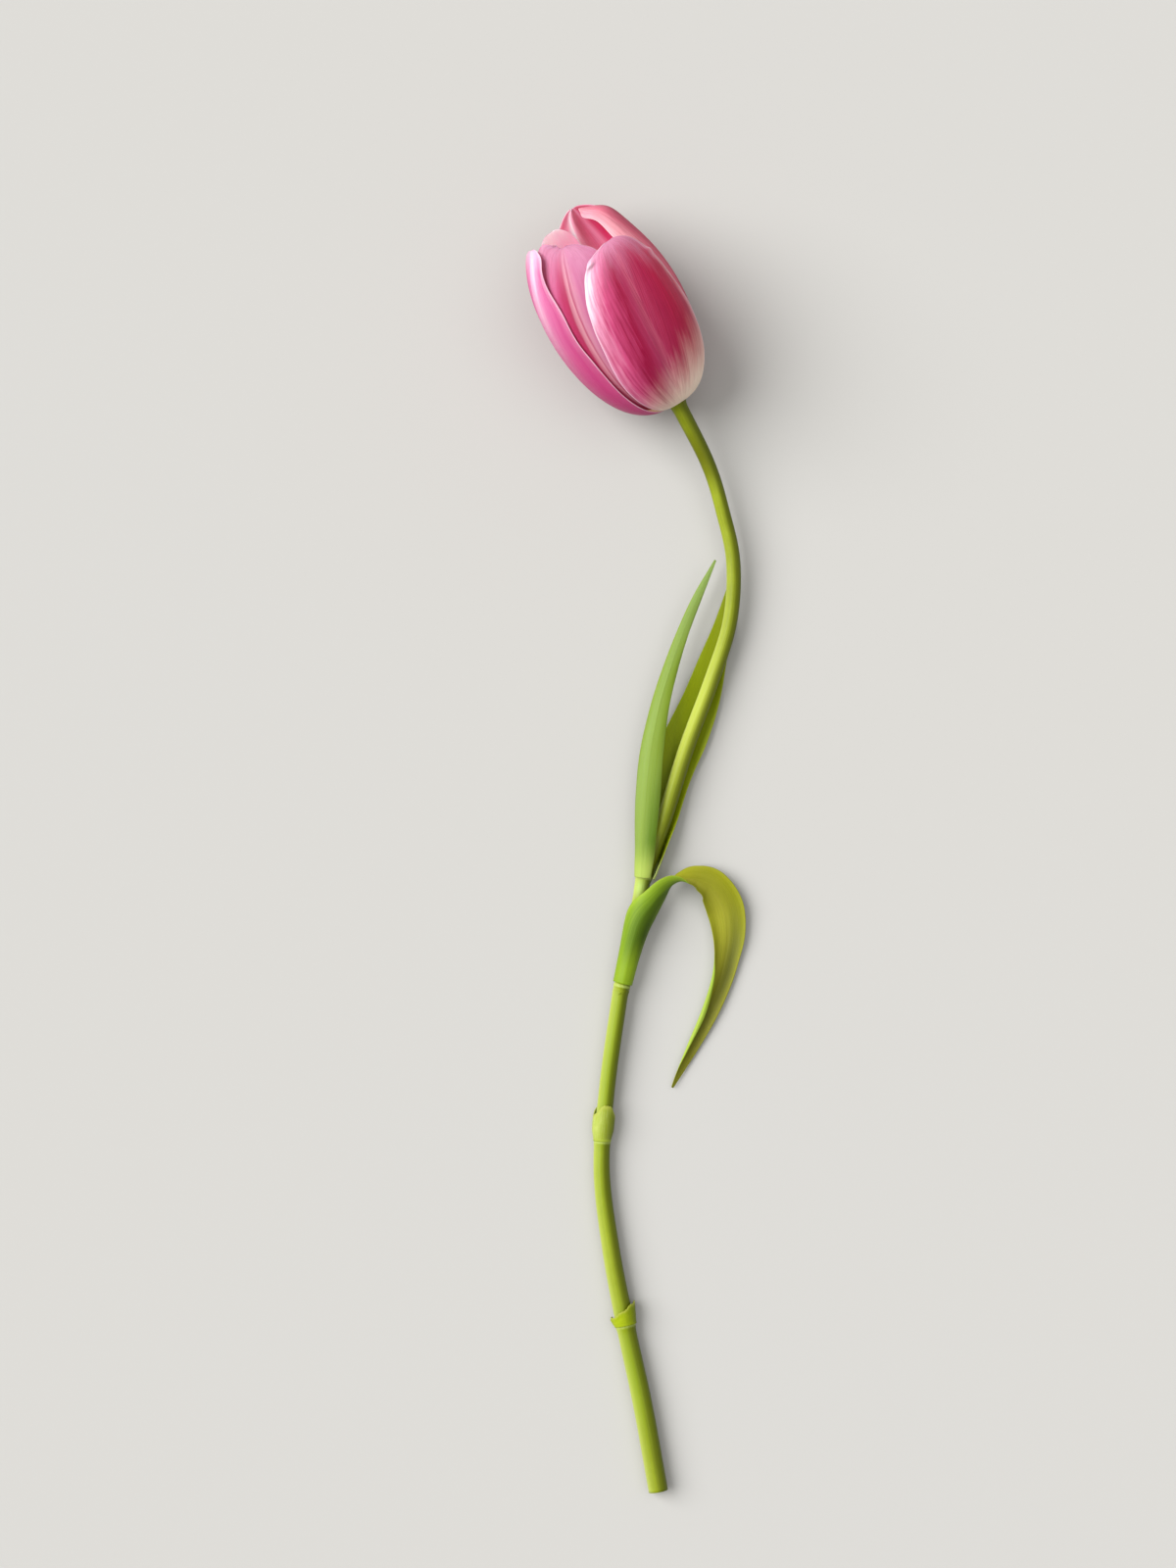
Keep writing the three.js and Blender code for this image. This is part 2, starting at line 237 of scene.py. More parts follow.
class Reading:
    """A shader value that takes part in sums as a number does."""

    def __init__(self, shade: "Shade", socket: bpy.types.NodeSocket) -> None:
        """Wraps one socket of a material.

        Args:
            shade: The material that the socket belongs to.
            socket: The socket.
        """
        self.shade = shade
        self.socket = socket

    def _sum(self, operation: str, first: object, second: object) -> "Reading":
        """Adds a Math node."""
        node = self.shade.node("ShaderNodeMath", {"operation": operation}, {0: first, 1: second})
        return Reading(self.shade, node.outputs[0])

    def __add__(self, other: object) -> "Reading":
        """Adds."""
        return self._sum("ADD", self, other)

    def __radd__(self, other: object) -> "Reading":
        """Adds to a number."""
        return self._sum("ADD", other, self)

    def __sub__(self, other: object) -> "Reading":
        """Takes away."""
        return self._sum("SUBTRACT", self, other)

    def __rsub__(self, other: object) -> "Reading":
        """Takes away from a number."""
        return self._sum("SUBTRACT", other, self)

    def __mul__(self, other: object) -> "Reading":
        """Multiplies."""
        return self._sum("MULTIPLY", self, other)

    def __rmul__(self, other: object) -> "Reading":
        """Multiplies a number."""
        return self._sum("MULTIPLY", other, self)

    def size(self) -> "Reading":
        """Drops the sign."""
        return self._sum("ABSOLUTE", self, 0.0)

    def larger(self, other: object) -> "Reading":
        """Takes the larger of two."""
        return self._sum("MAXIMUM", self, other)

    def rise(self, low: float, high: float) -> "Reading":
        """Rises smoothly from 0 to 1.

        Args:
            low: The value where the rise starts.
            high: The value where it ends.

        Returns:
            The reading that rises, or falls where low is above high.
        """
        values = {"Value": self, "From Min": min(low, high), "From Max": max(low, high)}
        if low > high:
            values |= {"To Min": 1.0, "To Max": 0.0}
        node = self.shade.node("ShaderNodeMapRange", {"interpolation_type": "SMOOTHSTEP"}, values)
        return Reading(self.shade, node.outputs[0])

    def near(self, centre: float, reach: float) -> "Reading":
        """Makes a smooth hump of height 1.

        Args:
            centre: The value where it is highest.
            reach: How far it spreads to either side.

        Returns:
            The hump.
        """
        return (self - centre).size().rise(reach, 0.0)


class Shade:
    """One material, whose nodes are all made by one method."""

    def __init__(self, name: str) -> None:
        """Starts an empty material.

        Args:
            name: The material's name.
        """
        self.material = bpy.data.materials.new(name)
        self.material.use_nodes = True
        self.material.node_tree.nodes.clear()

    def node(
        self,
        kind: str,
        settings: dict[str, object] | None = None,
        values: dict[str | int, object] | None = None,
    ) -> bpy.types.Node:
        """Makes a node.

        Args:
            kind: The node's type.
            settings: Its own options, or a ramp's stops as place and colour.
            values: A number, colour, socket or reading for each of its inputs.

        Returns:
            The node.
        """
        made = self.material.node_tree.nodes.new(kind)
        for key, value in (settings or {}).items():
            if key == "stops":
                self._set_stops(made.color_ramp, value)
            else:
                setattr(made, key, value)
        for key, value in (values or {}).items():
            target = made.inputs[key]
            if isinstance(value, Reading):
                value = value.socket
            if isinstance(value, bpy.types.NodeSocket):
                self.material.node_tree.links.new(value, target)
            elif target.type == "RGBA" and len(value) == 3:
                target.default_value = (*value, 1.0)
            else:
                target.default_value = value
        return made

    @staticmethod
    def _set_stops(ramp: bpy.types.ColorRamp, stops: list[tuple[float, Colour]]) -> None:
        """Sets a ramp's stops.

        Args:
            ramp: The ramp.
            stops: The place and colour of each stop, from left to right.
        """
        while len(ramp.elements) > 1:
            ramp.elements.remove(ramp.elements[-1])
        ramp.elements[0].position = stops[0][0]
        ramp.elements[0].color = (*stops[0][1], 1.0)
        for place, colour in stops[1:]:
            ramp.elements.new(place).color = (*colour, 1.0)

    def own_map(self) -> tuple[Reading, Reading]:
        """Reads the piece's own map.

        Returns:
            The place across the piece and the place along it, each from 0 to 1.
        """
        uv = self.node("ShaderNodeUVMap", {"uv_map": MAP_NAME})
        parts = self.node("ShaderNodeSeparateXYZ", None, {0: uv.outputs[0]})
        return Reading(self, parts.outputs[0]), Reading(self, parts.outputs[1])

    def object_place(self) -> bpy.types.NodeSocket:
        """Gives the place on the object, in metres."""
        return self.node("ShaderNodeTexCoord").outputs["Object"]

    def joined(self, x: object, y: object, z: object = 0.0) -> bpy.types.NodeSocket:
        """Joins three readings to one vector."""
        return self.node("ShaderNodeCombineXYZ", None, {0: x, 1: y, 2: z}).outputs[0]

    def grain(self, place: bpy.types.NodeSocket, scale: float, detail: float = 2.0) -> Reading:
        """Reads a cloudy noise from 0 to 1.

        Args:
            place: Where to read it.
            scale: How fine it is.
            detail: How many finer layers it has.

        Returns:
            The noise.
        """
        values = {"Vector": place, "Scale": scale, "Detail": detail, "Roughness": 0.55}
        return Reading(self, self.node("ShaderNodeTexNoise", None, values).outputs[0])

    def streaks(
        self, ways: tuple[Reading, ...], counts: tuple[float, ...], detail: float = 2.0
    ) -> Reading:
        """Reads a noise that is drawn out along the piece.

        Args:
            ways: The readings of the piece's map that it follows.
            counts: How many grains there are to each of them.
            detail: How many finer layers it has.

        Returns:
            The noise.
        """
        scaled = [way * count for way, count in zip(ways, counts)]
        return self.grain(self.joined(*scaled), 1.0, detail)

    def blend(self, amount: object, base: object, over: object) -> bpy.types.NodeSocket:
        """Lays one colour over another.

        Args:
            amount: How much of the upper colour shows.
            base: The lower colour, as a socket or a colour code.
            over: The upper colour, as a socket or a colour code.

        Returns:
            The mixed colour.
        """
        base, over = (tint(part) if isinstance(part, int) else part for part in (base, over))
        values = {0: amount, 6: base, 7: over}
        return self.node("ShaderNodeMix", {"data_type": "RGBA"}, values).outputs[2]

    def surface(
        self,
        colour: object,
        roughness: object,
        relief: Reading | None,
        depth: float,
        constants: dict[str, object],
    ) -> bpy.types.Material:
        """Closes the material with its surface shader.

        Args:
            colour: The colour, fixed or read.
            roughness: The roughness, fixed or read.
            relief: The height that the bump follows.
            depth: The bump's height in metres.
            constants: The shader's other values, each the same all over.

        Returns:
            The material.
        """
        values = {"Base Color": colour, "Roughness": roughness, **constants}
        if relief is not None:
            bump = self.node("ShaderNodeBump", None, {"Distance": depth, "Height": relief})
            values["Normal"] = bump.outputs[0]
        shader = self.node("ShaderNodeBsdfPrincipled", None, values)
        self.node("ShaderNodeOutputMaterial", None, {"Surface": shader.outputs[0]})
        return self.material


@dataclass(frozen=True)
class PetalFinish:
    """One face of a tepal: bands of colour across it, on some faces with painted highlights and
    painted shade, feathered veins, a crown, a foot and on some faces a painted glow.
    """

    name: str
    bands: tuple[tuple[float, int], ...]
    crown: int
    foot: int
    low: int
    vein: int
    rim: int = 0xE2BCCB
    rim_reach: float = 0.03
    crown_start: float = 0.72
    crown_amount: float = 0.85
    foot_reach: float = 0.3
    foot_lean: float = 0.0
    low_reach: float = 0.5
    low_amount: float = 0.0
    vein_amount: float = 0.2
    feather: float = 0.35
    jitter: float = 0.09
    drift: float = 0.0
    # Painted glow: how strongly the face gives off its own colour as light.
    painted_glow: float = 0.0
    scatter: float = 0.22
    scatter_reach: float = 0.0018
    gloss: float = 0.16
    relief_depth: float = 0.00025

    def dress(self) -> bpy.types.Material:
        """Makes the material.

        Returns:
            The material.
        """
        shade = Shade(self.name)
        across, share = shade.own_map()
        side = across * 2.0 - 1.0
        off_rib = side.size()
        fan = off_rib - share * self.feather
        broad = shade.streaks((side, share), (3.4, 2.2), 3.0)
        lines = shade.streaks((fan, share, side), (24.0, 3.0, 2.0))
        fine = shade.streaks((fan, share, side), (76.0, 8.0, 3.0), 1.0)
        cloud = shade.streaks((side, share), (9.0, 11.0), 4.0)
        wander = (broad - 0.5) * (self.jitter * 1.6) + (lines - 0.5) * self.jitter
        wander = wander + (cloud - 0.5) * (self.jitter * 0.9)
        colour = self.banded(shade, across + wander, side, share)
        low = (share + wander).rise(self.low_reach, self.low_reach * 0.45) * self.low_amount
        colour = shade.blend(low, colour, self.low)
        crown = (share + wander * 1.5).rise(self.crown_start, 1.03) * self.crown_amount
        colour = shade.blend(crown, colour, self.crown)
        veins = (fine * 0.3 + lines * 0.3 + cloud * 0.4).rise(0.44, 0.64)
        colour = shade.blend(veins * self.vein_amount, colour, self.vein)
        ground = share - side * self.foot_lean + wander * 0.9
        foot = ground.rise(self.foot_reach, self.foot_reach * 0.45)
        colour = shade.blend(foot, colour, self.foot)
        rim = (off_rib + wander * 0.3).rise(1.0 - self.rim_reach, 1.0)
        colour = shade.blend(rim * 0.55, colour, self.rim)
        constants = {
            "Specular IOR Level": self.gloss,
            "Subsurface Weight": self.scatter,
            "Subsurface Scale": self.scatter_reach,
            "Subsurface Radius": (1.0, 0.5, 0.5),
        }
        # Painted glow: the face gives off its own colour as light, standing in for light shining
        # through the petal.
        if self.painted_glow > 0.0:
            constants |= {"Emission Color": colour, "Emission Strength": self.painted_glow}
        relief = lines * 0.55 + fine * 0.3 + broad * 0.6
        return shade.surface(colour, broad * 0.16 + 0.44, relief, self.relief_depth, constants)

    def banded(self, shade: Shade, place: Reading, side: Reading, share: Reading) -> object:
        """Lays the bands of colour, drawn in towards the rib low down on the left.

        Args:
            shade: The material.
            place: The place across, from 0 to 1, with its wander.
            side: The place across, from -1 to 1.
            share: The place along.

        Returns:
            The bands' colour.
        """
        leftward = (0.0 - side).rise(0.15, 0.95)
        drifted = place + share.rise(0.82, 0.45) * leftward * self.drift
        ramp = {"stops": [(stop, tint(code)) for stop, code in self.bands]}
        return shade.node("ShaderNodeValToRGB", ramp, {0: drifted}).outputs[0]


@dataclass(frozen=True)
class LeafFinish:
    """One face of a leaf: long veins, a grey bloom, a painted highlight down one side, a patch of
    painted shade and a yellow edge.
    """

    name: str
    body: int
    light: int
    dark: int
    edge: int
    tip: int
    # The light side places a painted highlight, and the next three values place a patch of painted
    # shade.
    light_side: float = -0.6
    shade_side: float = 0.5
    shade_share: float = 0.25
    shade_reach: float = 0.4
    edge_right: float = 0.3
    edge_left: float = 0.08
    tip_start: float = 0.75
    foot: int = 0xC3D27E
    foot_reach: float = 0.1
    side_reach: float = 0.9
    gloss: float = 0.14
    relief_depth: float = 0.0001

    def dress(self) -> bpy.types.Material:
        """Makes the material.

        Returns:
            The material.
        """
        shade = Shade(self.name)
        across, share = shade.own_map()
        side = across * 2.0 - 1.0
        broad = shade.streaks((side, share), (1.6, 2.4), 3.0)
        veins = shade.streaks((side, share), (22.0, 2.0), 1.0)
        fine = shade.streaks((side, share), (60.0, 14.0))
        bloom = (veins * 0.6 + broad * 0.7).rise(0.4, 0.95)
        colour = shade.blend(bloom * 0.5, self.body, self.light)
        # Painted highlight: the side that faces the light is laid in the light colour.
        lit = side.near(self.light_side, self.side_reach) * (broad * 0.8 + 0.2)
        colour = shade.blend(lit * 0.8, colour, self.light)
        # Painted shade: a dark patch on the side away from the light.
        shaded = (share + veins * 0.08).near(self.shade_share, self.shade_reach)
        patch = side.near(self.shade_side, self.side_reach) * shaded
        colour = shade.blend(patch * 0.85, colour, self.dark)
        tip = (share + broad * 0.2).rise(self.tip_start, 1.1)
        colour = shade.blend(tip * 0.8, colour, self.tip)
        right = (side - veins * 0.06).rise(1.0 - self.edge_right, 1.02)
        left = (0.0 - side - veins * 0.04).rise(1.0 - self.edge_left, 1.02)
        colour = shade.blend(right.larger(left) * 0.75, colour, self.edge)
        foot = (share - broad * 0.05).rise(self.foot_reach, 0.0)
        colour = shade.blend(foot * 0.9, colour, self.foot)
        lines = (veins * 0.5 + fine * 0.5).rise(0.44, 0.64)
        colour = shade.blend(lines * 0.07, colour, self.dark)
        constants = {
            "Specular IOR Level": self.gloss,
            "Subsurface Weight": 0.05,
            "Subsurface Scale": 0.0015,
            "Subsurface Radius": (0.5, 1.0, 0.25),
        }
        relief = veins * 0.7 + fine * 0.3
        return shade.surface(colour, fine * 0.14 + 0.4, relief, self.relief_depth, constants)


@dataclass(frozen=True)
class StemFinish:
    """The stem's skin: fine ribs, a soft mottle, a painted highlight down one side, painted shade
    down the other and pale stretches at its joints.
    """

    name: str = "stem_skin"
    body: int = 0x727C04
    light: int = 0x8A961A
    dark: int = 0x4E5600
    # The pale colour is a painted highlight down the lit side of the stem, placed round it by the
    # next two values.
    pale: int = 0xB2BC62
    highlight_side: float = 0.26
    highlight_reach: float = 0.24
    stretches: tuple[tuple[float, float, int], ...] = ()
    rings: tuple[tuple[float, float, int], ...] = ()
    mottle_scale: float = 160.0
    broad_scale: float = 22.0
    gloss: float = 0.18
    relief_depth: float = 0.00012

    def dress(self) -> bpy.types.Material:
        """Makes the material.

        Returns:
            The material.
        """
        shade = Shade(self.name)
        around, share = shade.own_map()
        ribs = shade.streaks((around * FULL_TURN, share), (6.0, 16.0))
        mottle = shade.grain(shade.object_place(), self.mottle_scale, 3.0)
        broad = shade.grain(shade.object_place(), self.broad_scale)
        colour = shade.blend((ribs * 0.6 + mottle * 0.5).rise(0.35, 0.85), self.body, self.light)
        colour = shade.blend(broad.rise(0.42, 0.75) * 0.4, colour, self.dark)
        for place, reach, code in self.stretches:
            colour = shade.blend(share.near(place, reach) * 0.85, colour, code)
        uneven = around + ribs * 0.05
        # Painted shade: the side of the stem away from the light is darkened.
        colour = shade.blend(uneven.rise(0.48, 0.62) * 0.8, colour, self.dark)
        # Painted highlight: a pale streak down the lit side, fading towards the bloom.
        pale = uneven.near(self.highlight_side, self.highlight_reach) * share.rise(0.95, 0.72)
        colour = shade.blend(pale * 0.75, colour, self.pale)
        for place, reach, code in self.rings:
            band = (share + ribs * (reach * 0.5) - reach * 0.25).near(place, reach)
            colour = shade.blend(band * 0.6, colour, code)
        constants = {
            "Specular IOR Level": self.gloss,
            "Subsurface Weight": 0.06,
            "Subsurface Scale": 0.0015,
            "Subsurface Radius": (0.6, 1.0, 0.25),
        }
        return shade.surface(colour, mottle * 0.15 + 0.34, ribs, self.relief_depth, constants)


@dataclass(frozen=True)
class SpeckledFinish:
    """A plain finish of two colours, mottled by the place on the object."""

    name: str
    body: int
    other: int
    scale: float = 300.0
    low: float = 0.4
    high: float = 0.65
    roughness: float = 0.55
    depth: float = 0.0002

    def dress(self) -> bpy.types.Material:
        """Makes the material.

        Returns:
            The material.
        """
        shade = Shade(self.name)
        cloud = shade.grain(shade.object_place(), self.scale, 3.0)
        colour = shade.blend(cloud.rise(self.low, self.high), self.body, self.other)
        return shade.surface(colour, cloud * 0.1 + self.roughness, cloud, self.depth, {})


def bent_sheet(
    columns: int,
    rows: int,
    surface: Surface,
    closure: Closure = Closure.OPEN,
) -> bmesh.types.BMesh:
    """Bends a flat grid along a surface, and keeps its map from 0 to 1.

    Args:
        columns: The squares across.
        rows: The squares along.
        surface: Gives the point in millimetres at a share along and a place across, -1 to 1.
        closure: Whether the two long edges meet.

    Returns:
        The bent grid in metres.
    """
    form = bmesh.new()
    own_map = form.loops.layers.uv.new(MAP_NAME)
    bmesh.ops.create_grid(form, x_segments=columns, y_segments=rows, size=1.0)
    for face in form.faces:
        for corner in face.loops:
            place = corner.vert.co
            corner[own_map].uv = ((place.x + 1) / 2, (place.y + 1) / 2)
    for vert in form.verts:
        vert.co = surface((vert.co.y + 1) / 2, vert.co.x) * MM
    if closure is Closure.SEAMED:
        bmesh.ops.remove_doubles(form, verts=form.verts, dist=1e-7)
    return form


def close_ends(form: bmesh.types.BMesh) -> list[bmesh.types.BMFace]:
    """Closes the two open ends of a tube.

    Args:
        form: The tube.

    Returns:
        The faces that close it.
    """
    ends = [edge for edge in form.edges if len(edge.link_faces) == 1]
    return bmesh.ops.holes_fill(form, edges=ends, sides=0)["faces"]


def closed_tube(columns: int, rows: int, surface: Surface, place: Matrix) -> bmesh.types.BMesh:
    """Makes a closed tube whose skin follows a surface.

    Args:
        columns: The squares round it.
        rows: The squares along it.
        surface: Gives the skin's point in millimetres, as for a bent sheet.
        place: Where it goes, in millimetres.

    Returns:
        The tube in metres.
    """

    def skin(share: float, across: float) -> Vector:
        """Gives the skin's point in its place."""
        return place @ surface(share, across)

    form = bent_sheet(columns, rows, skin, Closure.SEAMED)
    close_ends(form)
    bmesh.ops.recalc_face_normals(form, faces=form.faces)
    return form


def shown(
    name: str,
    form: bmesh.types.BMesh,
    finishes: tuple[bpy.types.Material, ...],
) -> bpy.types.Object:
    """Makes a smooth piece of the object from a form.

    Args:
        name: The piece's name.
        form: Its mesh, which is used up.
        finishes: Its materials.

    Returns:
        The piece, which rides on the body.
    """
    mesh = bpy.data.meshes.new(name)
    form.to_mesh(mesh)
    form.free()
    for face in mesh.polygons:
        face.use_smooth = True
    for finish in finishes:
        mesh.materials.append(finish)
    piece = bpy.data.objects.new(name, mesh)
    bpy.context.collection.objects.link(piece)
    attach(piece, BODY)
    return piece


def give_thickness(
    piece: bpy.types.Object,
    thickness: float,
    rim_share: float,
    inner_finish: int = 0,
) -> None:
    """Gives a blade its thickness, thin at the rim.

    Args:
        piece: The blade, one sheet with its map.
        thickness: Its thickness in millimetres away from the rim.
        rim_share: How much of the thickness the rim keeps.
        inner_finish: How many places on in the list the back face's material is.
    """
    mesh = piece.data
    group = piece.vertex_groups.new(name="body")
    own_map = mesh.uv_layers[MAP_NAME].data
    places = {}
    for face in mesh.polygons:
        for loop, vert in zip(face.loop_indices, face.vertices):
            places[vert] = own_map[loop].uv
    for vert, (across, share) in places.items():
        off_middle = abs(2 * across - 1)
        weight = (1 - off_middle**SIDE_FULLNESS) * (1 - share**TIP_FULLNESS)
        group.add([vert], max(weight, 0.0), "REPLACE")
    wall = piece.modifiers.new("thickness", "SOLIDIFY")
    wall.thickness = thickness * MM
    wall.offset = 0.0
    wall.vertex_group = group.name
    wall.thickness_vertex_group = rim_share
    wall.material_offset = inner_finish


@dataclass(frozen=True)
class Push:
    """A local pull on a blade, strongest at one place and fading round it."""

    share: float
    across: float
    share_reach: float
    across_reach: float
    out: float = 0.0
    side: float = 0.0
    up: float = 0.0

    def weight(self, share: float, across: float) -> float:
        """Gives how much of the pull is felt at a place."""
        along = hump(self.share, self.share_reach, share)
        return along * hump(self.across, self.across_reach, across)


@dataclass
class Tepal:
    """One tepal of the bloom, in the bloom's own frame."""

    name: str
    slot: Slot
    profile: tuple[tuple[float, float], ...]
    facing: tuple[float, float, float, float]
    spread: tuple[float, float, float, float]
    blunt: float
    outer: PetalFinish
    inner: PetalFinish
    flare: float = 0.0
    groove: float = 0.35
    groove_reach: float = 0.1
    ruffle: float = 0.25
    ruffle_count: float = 7.0
    ruffle_start: tuple[float, float] = (0.25, 0.6)
    ruffle_lift: float = 0.8
    lift_count: float = 2.3
    flare_power: int = 3
    ruffle_power: int = 5
    pushes: tuple[Push, ...] = ()
    thickness: float = 0.55
    rim_share: float = 0.3
    crowding: float = 0.1
    tip_reach: float = 0.998
    tip_roundness: float = 0.55
    least_radius: float = 4.0
    columns: int = 72
    rows: int = 110

    def side_point(self, reach: float) -> tuple[float, float]:
        """Gives the radius and height of the tepal's middle line.

        Args:
            reach: From 0 at the base to 1 at the tip.

        Returns:
            The radius and the height in millimetres.
        """
        back = 1 - reach
        parts = (back**3, 3 * back**2 * reach, 3 * back * reach**2, reach**3)
        radius = sum(part * point[0] for part, point in zip(parts, self.profile))
        height = sum(part * point[1] for part, point in zip(parts, self.profile))
        return radius, height

    def surface(self) -> Surface:
        """Makes the function that gives the middle of the tepal's thickness.

        Returns:
            The function from a share along and a place across to a point in the bloom's frame.
        """
        facing_at = grading(*self.facing)
        spread_at = grading(*self.spread)

        def point(share: float, across: float) -> Vector:
            """Gives the point there.

            Args:
                share: From 0 at the base to 1 at the tip.
                across: From -1 at one margin to 1 at the other.

            Returns:
                The point in millimetres.
            """
            reach = share - self.crowding * math.sin(FULL_TURN * share)
            reach = min(max(reach, 0.0), 1.0)
            radius, height = self.side_point(reach)
            taper = (1 - (self.tip_reach * reach) ** self.blunt) ** self.tip_roundness
            swing = math.radians(across * spread_at(reach) * taper)
            middle = math.sin(math.pi * min(reach * 1.05, 1.0))
            out = self.flare * abs(across) ** self.flare_power * math.sin(math.pi * reach**2)
            out -= self.groove * hump(0.0, self.groove_reach, across) * middle
            edge = abs(across) ** self.ruffle_power * eased(*self.ruffle_start, reach)
            wave = self.ruffle_count * math.pi * reach
            out += self.ruffle * edge * math.sin(wave + across)
            height += self.ruffle * self.ruffle_lift * edge * math.sin(wave * self.lift_count)
            for push in self.pushes:
                felt = push.weight(share, across)
                out += push.out * felt
                swing += push.side * felt / max(radius, self.least_radius)
                height += push.up * felt
            turn = math.radians(facing_at(reach)) + swing
            radius += out
            return Vector((radius * math.cos(turn), radius * math.sin(turn), height))

        return point

    def build(self, bloom: "Bloom") -> list[bpy.types.Object]:
        """Makes the tepal.

        Args:
            bloom: The bloom that it belongs to.

        Returns:
            Its one piece.
        """
        surface = self.surface()
        frame = bloom.frame()

        def placed(share: float, across: float) -> Vector:
            """Gives the point in its place in the bloom, kept above the floor.

            Args:
                share: From 0 at the base to 1 at the tip.
                across: From -1 at one margin to 1 at the other.

            Returns:
                The point in millimetres.
            """
            point = surface(share, across)
            point.x = max(point.x, bloom.resting_side(point.z))
            return frame @ point

        form = bent_sheet(self.columns, self.rows, placed)
        piece = shown(self.name, form, (self.outer.dress(), self.inner.dress()))
        give_thickness(piece, self.thickness, self.rim_share, BACK_FINISH)
        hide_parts(self.name.removesuffix("_petal"))
        return [piece]


@dataclass
class Leaf:
    """A leaf: a channelled blade along stations of x, y, z, half width, channel and roll."""

    name: str
    node: str
    stations: tuple[tuple[float, ...], ...]
    face: LeafFinish
    back: LeafFinish
    thickness: float = 0.5
    rim_share: float = 0.35
    groove: float = 0.1
    groove_reach: float = 0.09
    wave: float = 0.12
    wave_count: float = 34.0
    fade_width: float = 3.0
    fold: tuple[float, ...] = (0.0, 0.0)
    fold_radius: float = 0.45
    fold_turn: float = 150.0
    full_fold: float = 0.6
    least_fold: float = 0.02
    columns: int = 48
    rows: int = 200

    def section(
        self, arc: float, channel: float, half: float, folded: float
    ) -> tuple[float, float]:
        """Gives a point of the leaf's cross section.

        Args:
            arc: The signed way from the rib, in millimetres.
            channel: The radius of the channel.
            half: The half width.
            folded: The width of the margin that is folded back.

        Returns:
            The way edgeward and the way into the hollow.
        """
        start = half - folded
        if arc <= start or folded <= self.least_fold:
            swing = arc / channel
            return channel * math.sin(swing), channel * (1 - math.cos(swing))
        swing = start / channel
        edgeward = channel * math.sin(swing)
        inward = channel * (1 - math.cos(swing))
        turn = math.radians(self.fold_turn) * min(1.0, folded / self.full_fold)
        bend = self.fold_radius * turn
        bent = min(arc - start, bend)
        turned = bent / self.fold_radius
        edgeward += self.fold_radius * (math.sin(swing + turned) - math.sin(swing))
        inward += self.fold_radius * (math.cos(swing) - math.cos(swing + turned))
        rest = max(arc - start - bend, 0.0)
        edgeward += rest * math.cos(swing + turned)
        inward += rest * math.sin(swing + turned)
        return edgeward, inward

    def surface(self) -> Surface:
        """Makes the function that gives the middle of the leaf's thickness.

        Returns:
            The function from a share along and a place across to a point.
        """
        path = Track(self.stations)
        fold_at = grading(*self.fold)

        def point(share: float, across: float) -> Vector:
            """Gives the point there.

            Args:
                share: From 0 at the foot to 1 at the tip.
                across: From -1 at one edge to 1 at the other.

            Returns:
                The point in millimetres.
            """
            footing = Footing.on(path, share)
            half, channel, roll = path.at(share)[3:6]
            roll = math.radians(roll)
            edgeward = footing.left * math.cos(roll) + footing.above * math.sin(roll)
            hollow = edgeward.cross(footing.along)
            folded = min(max(fold_at(share), 0.0), half * 0.8)
            to_edge, inward = self.section(across * half, channel, half, folded)
            fade = min(1.0, half / self.fade_width)
            inward -= self.groove * fade * hump(0.0, self.groove_reach, across)
            ripple = math.sin(self.wave_count * share + 2.6 * across)
            inward += self.wave * fade * abs(across) ** 3 * ripple
            return footing.origin + edgeward * to_edge + hollow * inward

        return point

    def build(self) -> list[bpy.types.Object]:
        """Makes the leaf.

        Returns:
            Its one piece.
        """
        form = bent_sheet(self.columns, self.rows, self.surface())
        piece = shown(self.name, form, (self.face.dress(), self.back.dress()))
        give_thickness(piece, self.thickness, self.rim_share, BACK_FINISH)
        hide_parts(self.node)
        return [piece]


